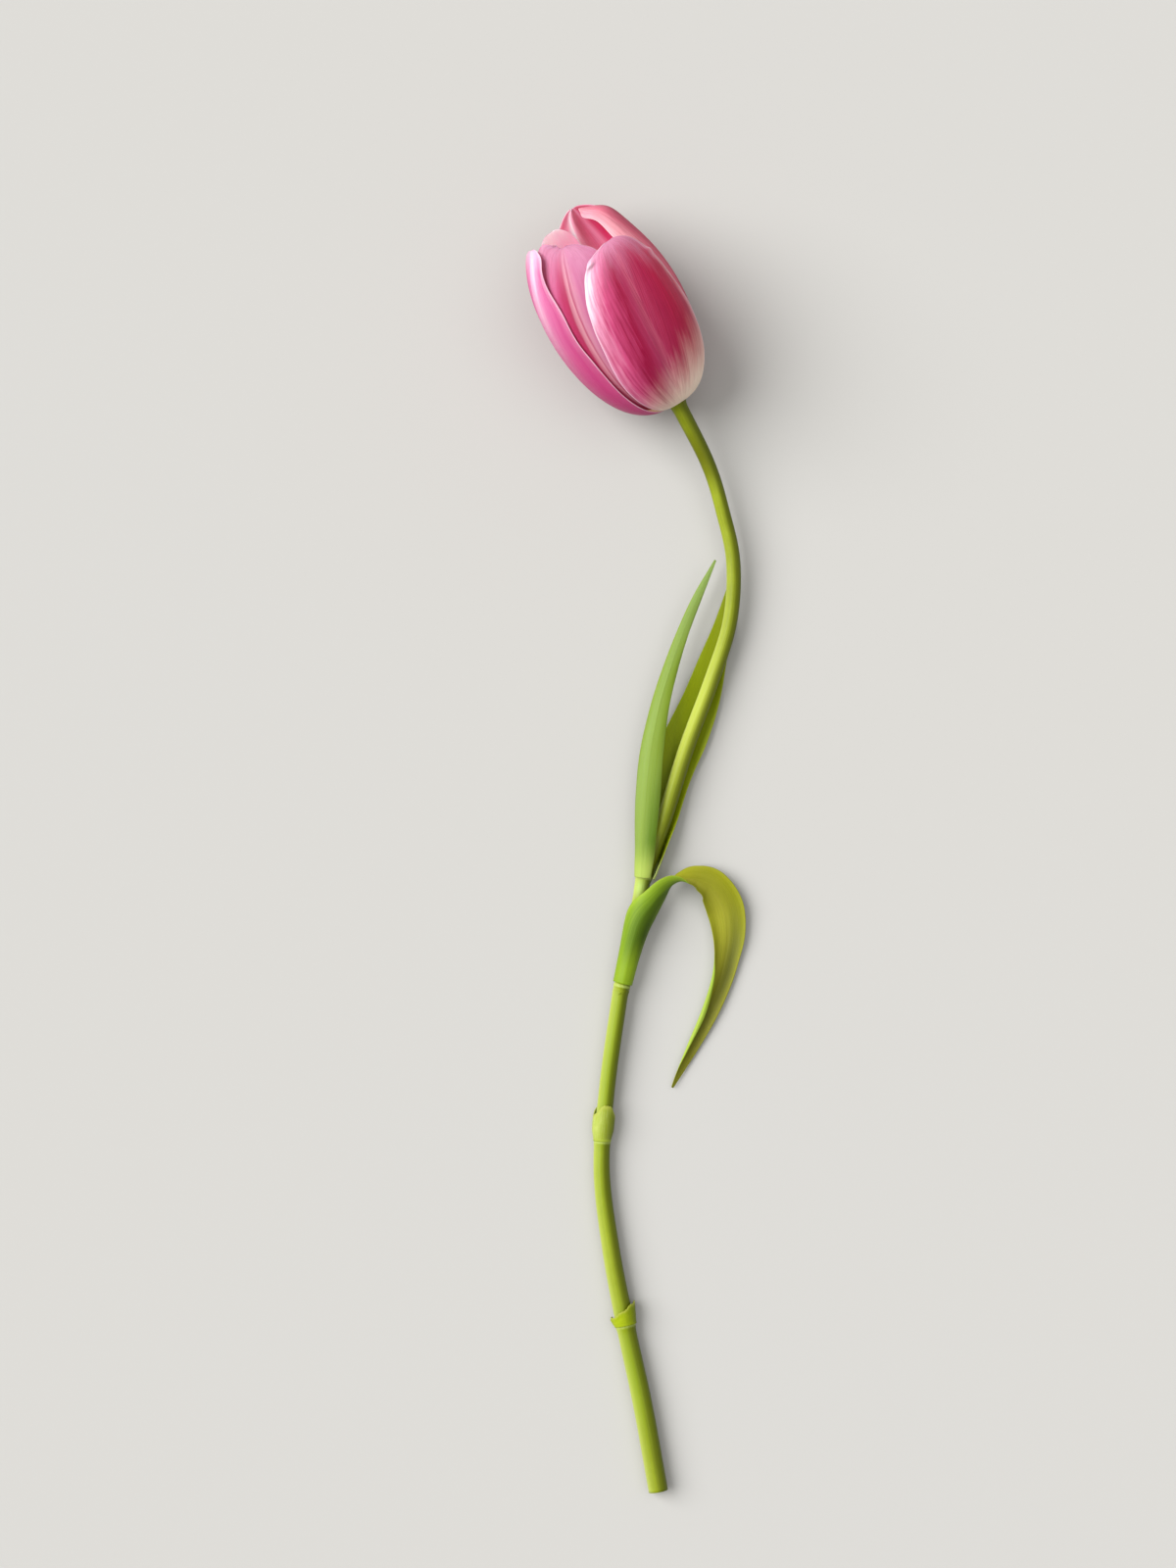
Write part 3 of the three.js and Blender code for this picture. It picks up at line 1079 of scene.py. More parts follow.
@dataclass
class Stem:
    """The stem: a tube along stations of x, y, z and radius, with swellings at its joints."""

    stations: tuple[tuple[float, ...], ...] = (
        (7.1, -196.0, 3.0, 3.0),
        (2.2, -169.0, 3.0, 2.98),
        (-3.2, -144.0, 3.0, 2.85),
        (-7.6, -121.0, 3.0, 2.7),
        (-10.4, -97.0, 3.0, 2.5),
        (-8.7, -72.0, 3.3, 2.45),
        (-5.1, -46.0, 4.0, 2.45),
        (-4.5, -42.4, 4.1, 2.4),
        (-4.0, -39.8, 4.15, 2.0),
        (-1.0, -25.0, 4.5, 2.05),
        (1.4, -14.0, 4.7, 2.3),
        (3.0, -6.0, 4.8, 2.35),
        (9.0, 11.0, 5.0, 2.4),
        (15.6, 32.0, 4.9, 2.4),
        (23.4, 53.0, 4.9, 2.35),
        (29.0, 71.0, 5.2, 2.25),
        (30.0, 89.0, 6.0, 2.2),
        (26.8, 104.5, 7.2, 2.15),
        (22.0, 119.5, 9.3, 2.2),
        (12.3, 138.0, 14.1, 2.45),
    )
    joints: tuple[tuple[float, float], ...] = (
        (-145.0, 0.3), (-88.5, 0.15), (-40.7, 0.6), (-7.2, 0.3),
    )
    tone_and_highlight_stretches: tuple[tuple[float, float, int], ...] = (
        (122.0, 38.0, 0x565A00),
        # Painted highlight: the stretch where the stem lies over the back leaf is lightened.
        (44.0, 30.0, 0x9CA630),
        (-10.5, 8.0, 0x9AB254),
        (-60.0, 40.0, 0x7A8C08),
        (-160.0, 36.0, 0x74860A),
    )
    ribs: tuple[tuple[float, float, float], ...] = ((0.012, 5.0, 9.0), (0.008, 3.0, -30.0))
    joint_reach: float = 1.3
    joint_code: int = 0xA4B45C
    joint_band: float = 1.0
    collar_reach: float = 1.6
    collar_swell: float = 0.5
    rind: float = 0.35
    pith_rim: float = 0.3
    pith_sink: float = 0.15
    columns: int = 40
    rows: int = 620
    path: Track = field(init=False)

    def __post_init__(self) -> None:
        """Keeps the stem's path."""
        self.path = Track(self.stations)

    def share_at(self, y: float) -> float:
        """Gives the share of the way at which the stem reaches a height along Y.

        Args:
            y: The height in millimetres.

        Returns:
            The share, from 0 to 1.
        """
        low, high = 0.0, 1.0
        while high - low > 1e-6:
            middle = (low + high) / 2
            if self.path.at(middle)[1] < y:
                low = middle
            else:
                high = middle
        return low

    def radius_at(self, share: float) -> float:
        """Gives the stem's radius without its swellings."""
        return self.path.at(share)[3]

    def point(self, share: float, across: float) -> Vector:
        """Gives a point of the stem's skin.

        Args:
            share: The share of the way from the cut end.
            across: The way round, from -1 to 1.

        Returns:
            The point in millimetres.
        """
        footing = Footing.on(self.path, share)
        radius = self.radius_at(share)
        for y, swell in self.joints:
            radius += swell * hump(y, self.joint_reach, footing.origin.y)
        to_end = (Vector(self.stations[-1][:3]) - footing.origin).length
        radius += self.collar_swell * hump(0.0, self.collar_reach, to_end)
        turn = -across * math.pi
        uneven = 1.0
        for depth, count, twist in self.ribs:
            uneven += depth * math.sin(count * turn + twist * share)
        radius *= uneven
        around = footing.left * math.sin(turn) + footing.above * math.cos(turn)
        return footing.origin + around * radius

    def finish(self) -> StemFinish:
        """Gives the skin, paler at the joints and near the front leaf's foot, darker near the
        bloom, and with a painted highlight where the stem lies over the back leaf.

        Returns:
            The finish, with its stretches and rings as shares of the stem's length.
        """
        stretches = tuple(self.band(*stretch) for stretch in self.tone_and_highlight_stretches)
        rings = tuple(self.band(y, self.joint_band, self.joint_code) for y, _ in self.joints)
        return StemFinish(stretches=stretches, rings=rings)

    def band(self, y: float, reach: float, code: int) -> tuple[float, float, int]:
        """Gives a stretch of the stem as shares of its length.

        Args:
            y: The middle of the stretch along Y, in millimetres.
            reach: How far it goes to either side.
            code: Its colour.

        Returns:
            The middle, the reach and the colour.
        """
        middle = self.share_at(y)
        return middle, self.share_at(y + reach) - middle, code

    def build(self) -> list[bpy.types.Object]:
        """Makes the stem, with its cut face sunk a little inside the rind.

        Returns:
            Its one piece.
        """
        form = bent_sheet(self.columns, self.rows, self.point, Closure.SEAMED)
        for cap in close_ends(form):
            cap.material_index = BACK_FINISH
            rind = bmesh.ops.inset_region(form, faces=[cap], thickness=self.rind * MM, depth=0.0)
            for side in rind["faces"]:
                side.material_index = BACK_FINISH
            bmesh.ops.inset_region(
                form, faces=[cap], thickness=self.pith_rim * MM, depth=-self.pith_sink * MM
            )
        bmesh.ops.recalc_face_normals(form, faces=form.faces)
        pith = SpeckledFinish("cut_pith", 0xC9CE9A, 0x9BA35C, 900.0, 0.45, 0.6)
        piece = shown("stem_skin", form, (self.finish().dress(), pith.dress()))
        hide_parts("stem")
        return [piece]


@dataclass
class Stub:
    """The torn sleeve that a pulled leaf leaves round the stem."""

    name: str
    node: str
    ring: float
    reach: float
    torn: float
    flare: float
    opening: float
    turn: float
    stem: Stem
    face: LeafFinish
    thickness: float = 0.5
    rim_share: float = 0.4
    gap: float = 0.34
    solid_thickness: float = 0.6
    point_count: float = 2.0
    notch_count: float = 7.0
    notch_depth: float = 0.05
    tears: tuple[tuple[float, float, float], ...] = ((0.02, 23.0, 1.0), (0.01, 41.0, 0.0))
    sink: float = 0.6
    sink_share: float = 0.5
    columns: int = 96
    rows: int = 24

    def surface(self) -> Surface:
        """Makes the function that gives the middle of the sleeve's thickness.

        Returns:
            The function from a share along and a place across to a point.
        """

        def point(share: float, across: float) -> Vector:
            """Gives the point there.

            Args:
                share: From 0 at the ring to 1 at the torn lip.
                across: From -1 to 1, round the stem.

            Returns:
                The point in millimetres.
            """
            swing = across * (math.pi - math.radians(self.opening) / 2)
            points = 0.5 + 0.5 * math.cos(self.point_count * swing + self.turn)
            ragged = points + self.notch_depth * math.sin(self.notch_count * swing)
            for depth, count, start in self.tears:
                ragged += depth * math.sin(count * swing + start)
            height = self.ring + share * (self.reach - self.torn * (1 - ragged))
            station = self.stem.share_at(height)
            footing = Footing.on(self.stem.path, station)
            radius = self.stem.radius_at(station) + self.gap + self.solid_thickness / 2
            radius += self.flare * share**2 - self.sink * (1 - eased(0.0, self.sink_share, share))
            around = footing.left * math.sin(swing) + footing.above * math.cos(swing)
            return footing.origin + around * radius

        return point

    def build(self) -> list[bpy.types.Object]:
        """Makes the stub.

        Returns:
            Its one piece.
        """
        form = bent_sheet(self.columns, self.rows, self.surface())
        piece = shown(self.name, form, (self.face.dress(),))
        give_thickness(piece, self.thickness, self.rim_share)
        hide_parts(self.node)
        return [piece]


@dataclass
class Pistil:
    """A three-sided ovary under a frilled stigma of three lobes."""

    foot: float = 1.6
    radius: float = 3.0
    base: float = 3.1
    top: float = 24.0
    swell: float = 0.1
    dome: float = 1.9
    lobe_length: float = 2.9
    lobe_width: float = 1.85
    lobe_height: float = 1.7
    lobe_reach: float = 2.7
    lobe_rise: float = 0.4
    lobe_count: int = 3
    ovary_squares: tuple[int, int] = (48, 90)
    lobe_squares: tuple[int, int] = (40, 24)

    def ovary_point(self, share: float, across: float) -> Vector:
        """Gives a point of the ovary's skin, in the bloom's frame.

        Args:
            share: From 0 at the foot to 1 at the top.
            across: The way round, from -1 to 1.

        Returns:
            The point in millimetres.
        """
        outline = Track(
            (
                (0.05, self.base),
                (self.foot, self.base + 0.2),
                (self.radius * 0.92, self.base + 4),
                (self.radius, self.base + 10),
                (self.radius * 0.85, self.top - 3),
                (self.radius * 0.7, self.top),
                (self.radius * 0.45, self.top + self.dome * 0.85),
                (0.02, self.top + self.dome),
            )
        )
        radius, height = outline.at(share)
        turn = across * math.pi
        seam = 0.16 * hump(1.0, 0.12, abs(math.cos(1.5 * turn)))
        radius *= 1 + self.swell * math.cos(self.lobe_count * turn) - seam * 0.4
        return Vector((radius * math.cos(turn), radius * math.sin(turn), height))

    def shape_lobe(self, place: Vector, lobe: int) -> Vector:
        """Shapes a point of a ball into one of the stigma's frilled and creased lobes.

        Args:
            place: The point of the ball, whose radius is 1.
            lobe: The lobe's number.

        Returns:
            The point in millimetres, in the bloom's frame.
        """
        angle = math.atan2(place.y, place.x)
        frill = 1 + 0.09 * math.sin(11 * angle + 3 * place.z) + 0.05 * math.sin(17 * place.z + lobe)
        crease = 1 - 0.4 * hump(0.0, 0.16, place.y) * max(place.z, 0.0)
        width, breadth = self.lobe_length * frill, self.lobe_width * frill
        shaped = Vector((place.x * width, place.y * breadth, place.z * (self.lobe_height * crease)))
        shaped += Vector((self.lobe_reach, 0.0, self.top + self.lobe_rise))
        return Matrix.Rotation(lobe * FULL_TURN / self.lobe_count, 4, "Z") @ shaped

    def build(self, frame: Matrix) -> list[bpy.types.Object]:
        """Makes the ovary and its stigma.

        Args:
            frame: The bloom's frame, in millimetres.

        Returns:
            The two pieces.
        """
        ovary = closed_tube(*self.ovary_squares, self.ovary_point, frame)
        skin = SpeckledFinish("ovary_skin", 0xB7C46A, 0x98AA45, 260.0, 0.35, 0.75, 0.5)
        body = shown("ovary", ovary, (skin.dress(),))
        stigma = bmesh.new()
        for lobe in range(self.lobe_count):
            around, down = self.lobe_squares
            ball = bmesh.ops.create_uvsphere(
                stigma, u_segments=around, v_segments=down, radius=1.0
            )
            for vert in ball["verts"]:
                vert.co = (frame @ self.shape_lobe(vert.co, lobe)) * MM
        velvet = SpeckledFinish(
            "stigma_velvet", 0xE2DD9C, 0xC8B964, 1500.0, 0.4, 0.62, 0.75, 0.0004
        )
        crown = shown("stigma", stigma, (velvet.dress(),))
        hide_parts("pistil")
        return [body, crown]


@dataclass
class Stamens:
    """Six filaments, each with a long grooved anther."""

    count: int = 6
    seat: float = 2.9
    base: float = 3.1
    splay: float = 16.0
    filament_radius: float = 0.6
    filament_length: float = 9.0
    filament_tail: float = 1.5
    anther_radius: float = 1.15
    anther_length: float = 13.0
    flatness: float = 0.75
    overlap: float = 1.0
    filament_squares: tuple[int, int] = (16, 24)
    anther_squares: tuple[int, int] = (32, 60)

    def filament_point(self, share: float, across: float) -> Vector:
        """Gives a point of a filament's skin, upright.

        Args:
            share: From 0 at the seat to 1 inside the anther.
            across: The way round, from -1 to 1.

        Returns:
            The point in millimetres.
        """
        turn = across * math.pi
        height = share * (self.filament_length + self.filament_tail)
        radius = self.filament_radius * (1 - 0.35 * share) + 0.25 * hump(0.0, 0.12, share)
        if share > 0.985:
            radius *= 0.3
        return Vector((radius * math.cos(turn), radius * math.sin(turn), height))

    def anther_point(self, share: float, across: float) -> Vector:
        """Gives a point of an anther's skin, upright.

        Args:
            share: From 0 at its lower end to 1 at its tip.
            across: The way round, from -1 to 1.

        Returns:
            The point in millimetres.
        """
        turn = across * math.pi
        ends = math.sqrt(max(1 - abs(2 * share - 1) ** 5, 0.0004))
        groove = 1 - 0.3 * hump(0.0, 0.16, math.sin(turn))
        groove -= 0.16 * hump(0.0, 0.13, math.cos(turn))
        radius = self.anther_radius * ends * groove * (1 + 0.03 * math.sin(40 * share))
        height = self.filament_length - self.overlap + share * self.anther_length
        bow = 0.3 * math.sin(math.pi * share)
        flat = radius * math.cos(turn) * self.flatness
        return Vector((flat + bow, radius * math.sin(turn), height))

    def build(self, frame: Matrix) -> list[bpy.types.Object]:
        """Makes the stamens.

        Args:
            frame: The bloom's frame, in millimetres.

        Returns:
            A filament and an anther for each.
        """
        pale = SpeckledFinish("filament_skin", 0xD9D2A8, 0x7D6A78, 420.0, 0.45, 0.7, 0.5)
        dust = SpeckledFinish("anther_dust", 0x3A2A38, 0x6B5560, 1400.0, 0.45, 0.7, 0.85, 0.0004)
        skins = (pale.dress(),), (dust.dress(),)
        pieces = []
        for number in range(self.count):
            turn = (number + 0.5) * FULL_TURN / self.count
            seat = Vector((self.seat * math.cos(turn), self.seat * math.sin(turn), self.base))
            splay = Matrix.Rotation(math.radians(self.splay), 4, "Y")
            stand = frame @ Matrix.Translation(seat) @ (Matrix.Rotation(turn, 4, "Z") @ splay)
            filament = closed_tube(*self.filament_squares, self.filament_point, stand)
            anther = closed_tube(*self.anther_squares, self.anther_point, stand)
            stalk = shown(f"filament_{number + 1}", filament, skins[0])
            head = shown(f"anther_{number + 1}", anther, skins[1])
            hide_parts(f"stamen_{number + 1}")
            pieces += [stalk, head]
        return pieces


@dataclass
class Bloom:
    """The half-open bloom: six tepals round the pistil and stamens."""

    base: Vector = field(default_factory=lambda: Vector((12.3, 138.0, 14.1)))
    turn: float = 32.0
    rise: float = 14.0
    solid_thickness: float = 0.7

    def axis(self) -> Vector:
        """Gives the direction from the bloom's base to its tip.

        Returns:
            The direction, of length 1.
        """
        turn, rise = math.radians(self.turn), math.radians(self.rise)
        level = math.cos(rise)
        return Vector((-math.sin(turn) * level, math.cos(turn) * level, math.sin(rise)))

    def frame(self) -> Matrix:
        """Gives the bloom's frame: its axis is +Z, and +X is the side of it that faces up.

        Returns:
            The frame, in millimetres.
        """
        axis = self.axis()
        upper = (UP - axis * math.sin(math.radians(self.rise))).normalized()
        right = axis.cross(upper)
        columns = [(*upper, 0.0), (*right, 0.0), (*axis, 0.0), (*self.base, 1.0)]
        return Matrix(columns).transposed()

    def resting_side(self, height: float) -> float:
        """Gives the lowest place of a tepal's middle where the bloom rests on the floor.

        Args:
            height: The place along the bloom's axis, in millimetres.

        Returns:
            The least place along the frame's +X.
        """
        rise = math.radians(self.rise)
        return (self.solid_thickness / 2 - self.base.z - height * math.sin(rise)) / math.cos(rise)

    def tepals(self) -> list[Tepal]:
        """Gives the six tepals.

        Returns:
            The outer three and the inner three.
        """
        # The three heart faces below carry a painted glow, standing in for light shining through
        # the petals.
        heart = PetalFinish(
            "heart_face",
            ((0.0, 0xE87FA4), (0.25, 0xDA5488), (0.5, 0xF0A0C0), (0.75, 0xDA5488), (1.0, 0xE87FA4)),
            0xF0A2BE, 0xF3E6B4, 0xE48AA6, 0xB93A68, foot_reach=0.35,
            scatter=0.6, scatter_reach=0.005, painted_glow=0.12,
        )
        # Its near-white stops from 0.71 to 0.76 are a painted highlight along the rolled fold.
        rolled_heart = PetalFinish(
            "rolled_heart_face",
            (
                (0.0, 0xD86484), (0.2, 0xC0305A), (0.36, 0xB82650), (0.44, 0xC43E6C),
                (0.5, 0xDC8CA8), (0.57, 0xC86888), (0.66, 0xC87C92), (0.71, 0xE4A8B8),
                (0.735, 0xFFEEF0), (0.76, 0xF8D8E0), (0.82, 0xE490A8), (0.92, 0xDC7C9A),
                (1.0, 0xEAA0B4),
            ),
            0xF3ABBC, 0xF3E6B4, 0xD8688C, 0xB93A68, crown_amount=0.25, jitter=0.015,
            foot_reach=0.35, vein_amount=0.1, scatter=0.6, scatter_reach=0.003, painted_glow=0.07,
        )
        # Its very pale pinks are partly painted light, standing in for light shining through the
        # petal.
        ear_heart = PetalFinish(
            "ear_heart_face",
            ((0.0, 0xF29ABA), (0.3, 0xF6AEC6), (0.5, 0xFCC6D4), (0.8, 0xFFD6E0), (1.0, 0xEFA6C6)),
            0xFFD8E2, 0xF3E6B4, 0xE48AA6, 0xD0688E, foot_reach=0.35, vein_amount=0.12,
            scatter=0.6, scatter_reach=0.005, painted_glow=0.22,
        )
        # Its near-white left margin is partly its own pale edge and partly a painted highlight; its
        # deepest crimson on the right is partly painted shade.
        front = PetalFinish(
            "front_tepal_face",
            (
                (0.0, 0xF6E8EE), (0.09, 0xECC8D4), (0.16, 0xD48CA8), (0.24, 0xB84470),
                (0.34, 0x880634), (0.43, 0x982C50), (0.49, 0xA84660), (0.53, 0x982A4C),
                (0.64, 0x9C1A42), (0.8, 0xA0183C), (0.94, 0xA03A50), (1.0, 0xC48C94),
            ),
            0xCA88A6, 0xE8D0BE, 0xA83460, 0x740E34,
            foot_reach=0.47, foot_lean=0.08, low_reach=0.5, low_amount=0.5, vein_amount=0.26,
            crown_start=0.66, crown_amount=0.95, feather=0.6, drift=0.16,
        )
        # The near-white band from 0.62 to 0.8 is a painted highlight, a sheen where the light
        # falls.
        left = PetalFinish(
            "left_tepal_face",
            (
                (0.0, 0xB84078), (0.42, 0xC04E86), (0.54, 0xCC6C9C), (0.62, 0xE8B4D0),
                (0.7, 0xF0CCE0), (0.8, 0xD890B6), (0.9, 0xC86496), (1.0, 0xDCA4BC),
            ),
            0xE4B8CC, 0xBE9078, 0xA82C64, 0x942056,
            foot_reach=0.2, low_reach=0.9, low_amount=0.92, feather=0.5,
        )
        behind = PetalFinish(
            "behind_tepal_face",
            ((0.0, 0xCC6684), (0.25, 0xB84870), (0.5, 0xCC8498), (0.75, 0xB84870), (1.0, 0xCC6684)),
            0xCC8098, 0xB49078, 0xB44870, 0x96284E, low_amount=0.4,
        )
        # Its pale stop at 0.1 is partly a painted highlight on the side towards the light.
        middle = PetalFinish(
            "middle_tepal_face",
            (
                (0.0, 0xB05478), (0.1, 0xCA96AC), (0.2, 0xB8688A), (0.32, 0xB05078),
                (0.41, 0xA02C54), (0.45, 0x98284C), (0.475, 0xB06E7E), (0.5, 0xBC828E),
                (0.52, 0x9E4460), (0.54, 0xB67A8E), (0.6, 0xAC6084), (0.8, 0xAC6A8A),
                (1.0, 0xA65A7E),
            ),
            0xB87E98, 0xB08670, 0xA02C54, 0x86224C,
            foot_reach=0.24, low_reach=0.6, low_amount=0.4, feather=0.1, jitter=0.03,
            vein_amount=0.2, crown_start=0.66,
        )
        # Its pale stops from 0 to 0.2 are partly a painted highlight along the inner edge.
        coral = PetalFinish(
            "coral_tepal_face",
            ((0.0, 0xEAB0B8), (0.2, 0xE69CA8), (0.38, 0xCA5A74), (0.7, 0xA42E4C), (1.0, 0xB24C64)),
            0xDC8C9E, 0xA88A70, 0xB03A56, 0x8E1C38, crown_amount=0.75, crown_start=0.7,
            low_reach=0.6, low_amount=0.35, vein_amount=0.34,
        )
        ear = PetalFinish(
            "ear_tepal_face",
            ((0.0, 0xC8688E), (0.5, 0xD084A0), (1.0, 0xC8688E)),
            0xD08CA2, 0xB49078, 0xB44870, 0xA04066, low_amount=0.4,
        )
        return [
            Tepal(
                "outer_tepal_1_petal", Slot.OUTER_TEPAL,
                ((3.0, 0.0), (21.5, -1.5), (27.5, 40.0), (17.3, 54.5)),
                (4, 7, 12, 20), (44, 49, 43.5, 44), 9.0, front, heart, flare=0.3,
                pushes=(
                    Push(0.78, 1.0, 0.1, 0.5, up=-3.0, side=-0.8),
                    Push(0.68, 1.0, 0.1, 0.5, side=-1.8),
                    Push(0.58, 1.0, 0.07, 0.4, side=-1.0),
                    Push(0.775, 1.0, 0.018, 0.2, up=0.7, side=0.5),
                    Push(0.91, -1.0, 0.05, 0.4, side=-1.3),
                    Push(0.87, -0.9, 0.03, 0.14, out=0.9),
                    Push(0.83, -0.8, 0.03, 0.12, out=-0.5),
                ),
            ),
            Tepal(
                "outer_tepal_2_petal", Slot.OUTER_TEPAL,
                ((3.0, 0.0), (21.5, -1.5), (29.5, 45.0), (12.0, 65.0)),
                (154, 156, 156, 160), (48, 48, 46, 44), 12.0, behind, rolled_heart, flare=0.4,
                pushes=(
                    Push(0.86, 0.34, 0.14, 0.1, out=-2.0),
                    Push(0.86, 0.0, 0.14, 0.14, out=-0.6),
                    Push(0.88, 0.75, 0.12, 0.18, out=0.6),
                    Push(0.66, -1.0, 0.16, 0.4, out=-1.5, side=0.8),
                ),
            ),
            Tepal(
                "outer_tepal_3_petal", Slot.OUTER_TEPAL,
                ((3.0, 0.0), (24.0, -1.5), (29.5, 45.0), (15.0, 62.6)),
                (-98, -98, -96, -76), (46, 47, 46, 40), 10.0, left, heart, flare=0.4,
                pushes=(
                    Push(0.74, 1.0, 0.11, 0.45, side=-4.2),
                    Push(0.58, 1.0, 0.05, 0.4, side=-0.6),
                    Push(0.62, 1.0, 0.3, 0.4, out=-2.3),
                ),
            ),
            Tepal(
                "inner_tepal_1_petal", Slot.INNER_TEPAL,
                ((3.0, 1.6), (20.5, -0.5), (25.5, 43.0), (11.0, 59.0)),
                (-52, -50, -44, -34), (46, 50, 50, 54), 12.0, middle, heart,
                pushes=(
                    Push(0.66, -1.0, 0.3, 0.7, out=2.3),
                    Push(0.66, -0.3, 0.2, 0.4, out=0.5),
                    Push(0.9, -0.9, 0.09, 0.45, up=3.2, side=-1.2),
                    Push(0.95, -0.8, 0.05, 0.26, up=2.2, side=0.3),
                    Push(0.8, -0.3, 0.16, 0.07, out=-0.5),
                ),
            ),
            Tepal(
                "inner_tepal_2_petal", Slot.INNER_TEPAL,
                ((3.0, 1.6), (19.0, -0.5), (28.5, 49.0), (5.5, 65.6)),
                (76, 78, 76, 54), (46, 48, 46, 40), 5.0, coral, heart,
                pushes=(
                    Push(0.84, 0.2, 0.1, 1.2, out=2.3, up=0.8),
                    Push(0.9, -1.0, 0.07, 0.4, side=-2.2),
                ),
            ),
            Tepal(
                "inner_tepal_3_petal", Slot.INNER_TEPAL,
                ((3.0, 1.6), (19.5, -0.5), (25.5, 44.0), (11.5, 62.4)),
                (207, 208, 211, 212), (46, 48, 38, 34), 20.0, ear, ear_heart, tip_roundness=0.42,
            ),
        ]

    def build(self) -> list[bpy.types.Object]:
        """Makes the tepals, the pistil and the stamens.

        Returns:
            The pieces.
        """
        pieces = []
        for tepal in self.tepals():
            pieces += tepal.build(self)
        pieces += Pistil().build(self.frame())
        pieces += Stamens().build(self.frame())
        return pieces


def leaves() -> list[Leaf]:
    """Gives the three leaves.

    Returns:
        The front, the back and the drooping leaf.
    """
    # Each finish's light side places its painted highlight, and its shade values place its patch of
    # painted shade.
    fresh = LeafFinish(
        "front_leaf_face", 0x687C0C, 0x748A36, 0x46600A, 0x7A8A10, 0x728432,
        light_side=-0.5, shade_side=0.6, shade_share=0.22, shade_reach=0.3, tip_start=0.7,
        foot=0x98AA4C, foot_reach=0.16,
    )
    fresh_back = LeafFinish(
        "front_leaf_back", 0x6C821A, 0x7E944E, 0x48660C, 0x788A14, 0x768C48,
        light_side=0.5, shade_side=-0.7, shade_share=0.2, shade_reach=0.3, tip_start=0.7,
        foot=0x98AA4C, foot_reach=0.16,
    )
    olive = LeafFinish(
        "back_leaf_face", 0x788600, 0x8C9806, 0x5A6600, 0x8C9812, 0x848F0A,
        light_side=-0.8, shade_side=0.2, shade_share=0.2, shade_reach=0.5,
    )
    olive_back = LeafFinish("back_leaf_back", 0x8FA53A, 0xA3B756, 0x6F8420, 0x9AA71A, 0x8F9B30)
    droop_face = LeafFinish(
        "drooping_leaf_face", 0x7E800A, 0xA8A638, 0x3E4200, 0x86861C, 0x5A5800,
        light_side=0.4, shade_side=-0.4, shade_share=0.82, shade_reach=0.34,
    )
    droop_back = LeafFinish(
        "drooping_leaf_back", 0x54720A, 0x8EA82A, 0x243A00, 0x86A028, 0x9CB044,
        light_side=1.0, shade_side=-0.4, shade_share=0.12, shade_reach=0.5, tip_start=0.55,
        foot=0x7A9418, foot_reach=0.08,
    )
    return [
        Leaf(
            "front_leaf", "leaf_upper_front",
            (
                (1.5, -7.4, 7.75, 3.3, 3.05, -25.0),
                (1.9, -1.0, 8.4, 3.9, 3.8, -28.0),
                (2.3, 8.0, 8.8, 4.5, 4.6, -28.0),
                (3.1, 20.0, 9.0, 4.8, 5.2, -25.0),
                (4.6, 32.0, 9.0, 4.15, 5.2, -20.0),
                (7.0, 44.0, 8.7, 3.2, 4.8, -14.0),
                (10.4, 56.0, 8.2, 2.45, 4.4, -8.0),
                (14.4, 67.5, 7.7, 1.9, 4.0, -4.0),
                (19.0, 78.5, 7.2, 1.4, 4.0, 0.0),
                (24.5, 89.9, 6.8, 0.35, 4.0, 0.0),
            ),
            fresh, fresh_back,
        ),
        Leaf(
            "back_leaf", "leaf_upper_back",
            (
                (4.0, -7.8, 1.9, 5.2, 3.1, 155.0),
                (5.6, -1.5, 1.45, 6.0, 3.95, 160.0),
                (7.0, 7.5, 0.9, 6.5, 6.4, 168.0),
                (8.6, 17.0, 0.7, 6.8, 11.0, 176.0),
                (11.2, 26.5, 0.6, 7.2, 14.0, 180.0),
                (15.9, 36.5, 0.6, 6.85, 15.0, 180.0),
                (20.15, 47.0, 0.6, 5.95, 12.0, 180.0),
                (23.5, 58.0, 0.7, 4.6, 10.0, 180.0),
                (26.7, 69.5, 0.9, 2.8, 9.0, 180.0),
                (29.2, 83.5, 1.5, 0.35, 8.0, 180.0),
            ),
            olive, olive_back,
        ),
        Leaf(
            "drooping_leaf", "leaf_drooping",
            (
                (-3.95, -40.0, 6.95, 5.0, 2.82, 0.0),
                (-1.6, -30.5, 7.5, 6.0, 3.2, 2.0),
                (1.3, -20.8, 8.9, 6.1, 4.3, 6.0),
                (5.6, -14.6, 9.2, 4.3, 6.0, 28.0),
                (9.2, -10.8, 8.9, 4.2, 6.5, 50.0),
                (12.0, -8.9, 8.0, 4.0, 7.0, 80.0),
                (14.9, -8.0, 6.7, 3.7, 9.0, 122.0),
                (18.6, -8.0, 5.0, 4.4, 9.0, 150.0),
                (23.4, -10.3, 3.0, 5.7, 8.5, 170.0),
                (27.4, -16.4, 1.4, 6.3, 9.0, 180.0),
                (28.6, -24.2, 0.7, 5.6, 7.5, 176.0),
                (27.7, -32.0, 0.6, 4.7, 4.9, 168.0),
                (25.6, -39.8, 0.6, 4.3, 3.7, 160.0),
                (21.8, -49.2, 0.7, 3.7, 3.1, 156.0),
                (17.1, -59.6, 0.9, 2.5, 2.6, 155.0),
                (11.4, -72.2, 1.2, 0.35, 2.6, 155.0),
            ),
            droop_face, droop_back,
            fold=(0.0,) * 11 + (0.3, 1.2, 1.9, 1.2, 0.1), rows=320,
        ),
    ]


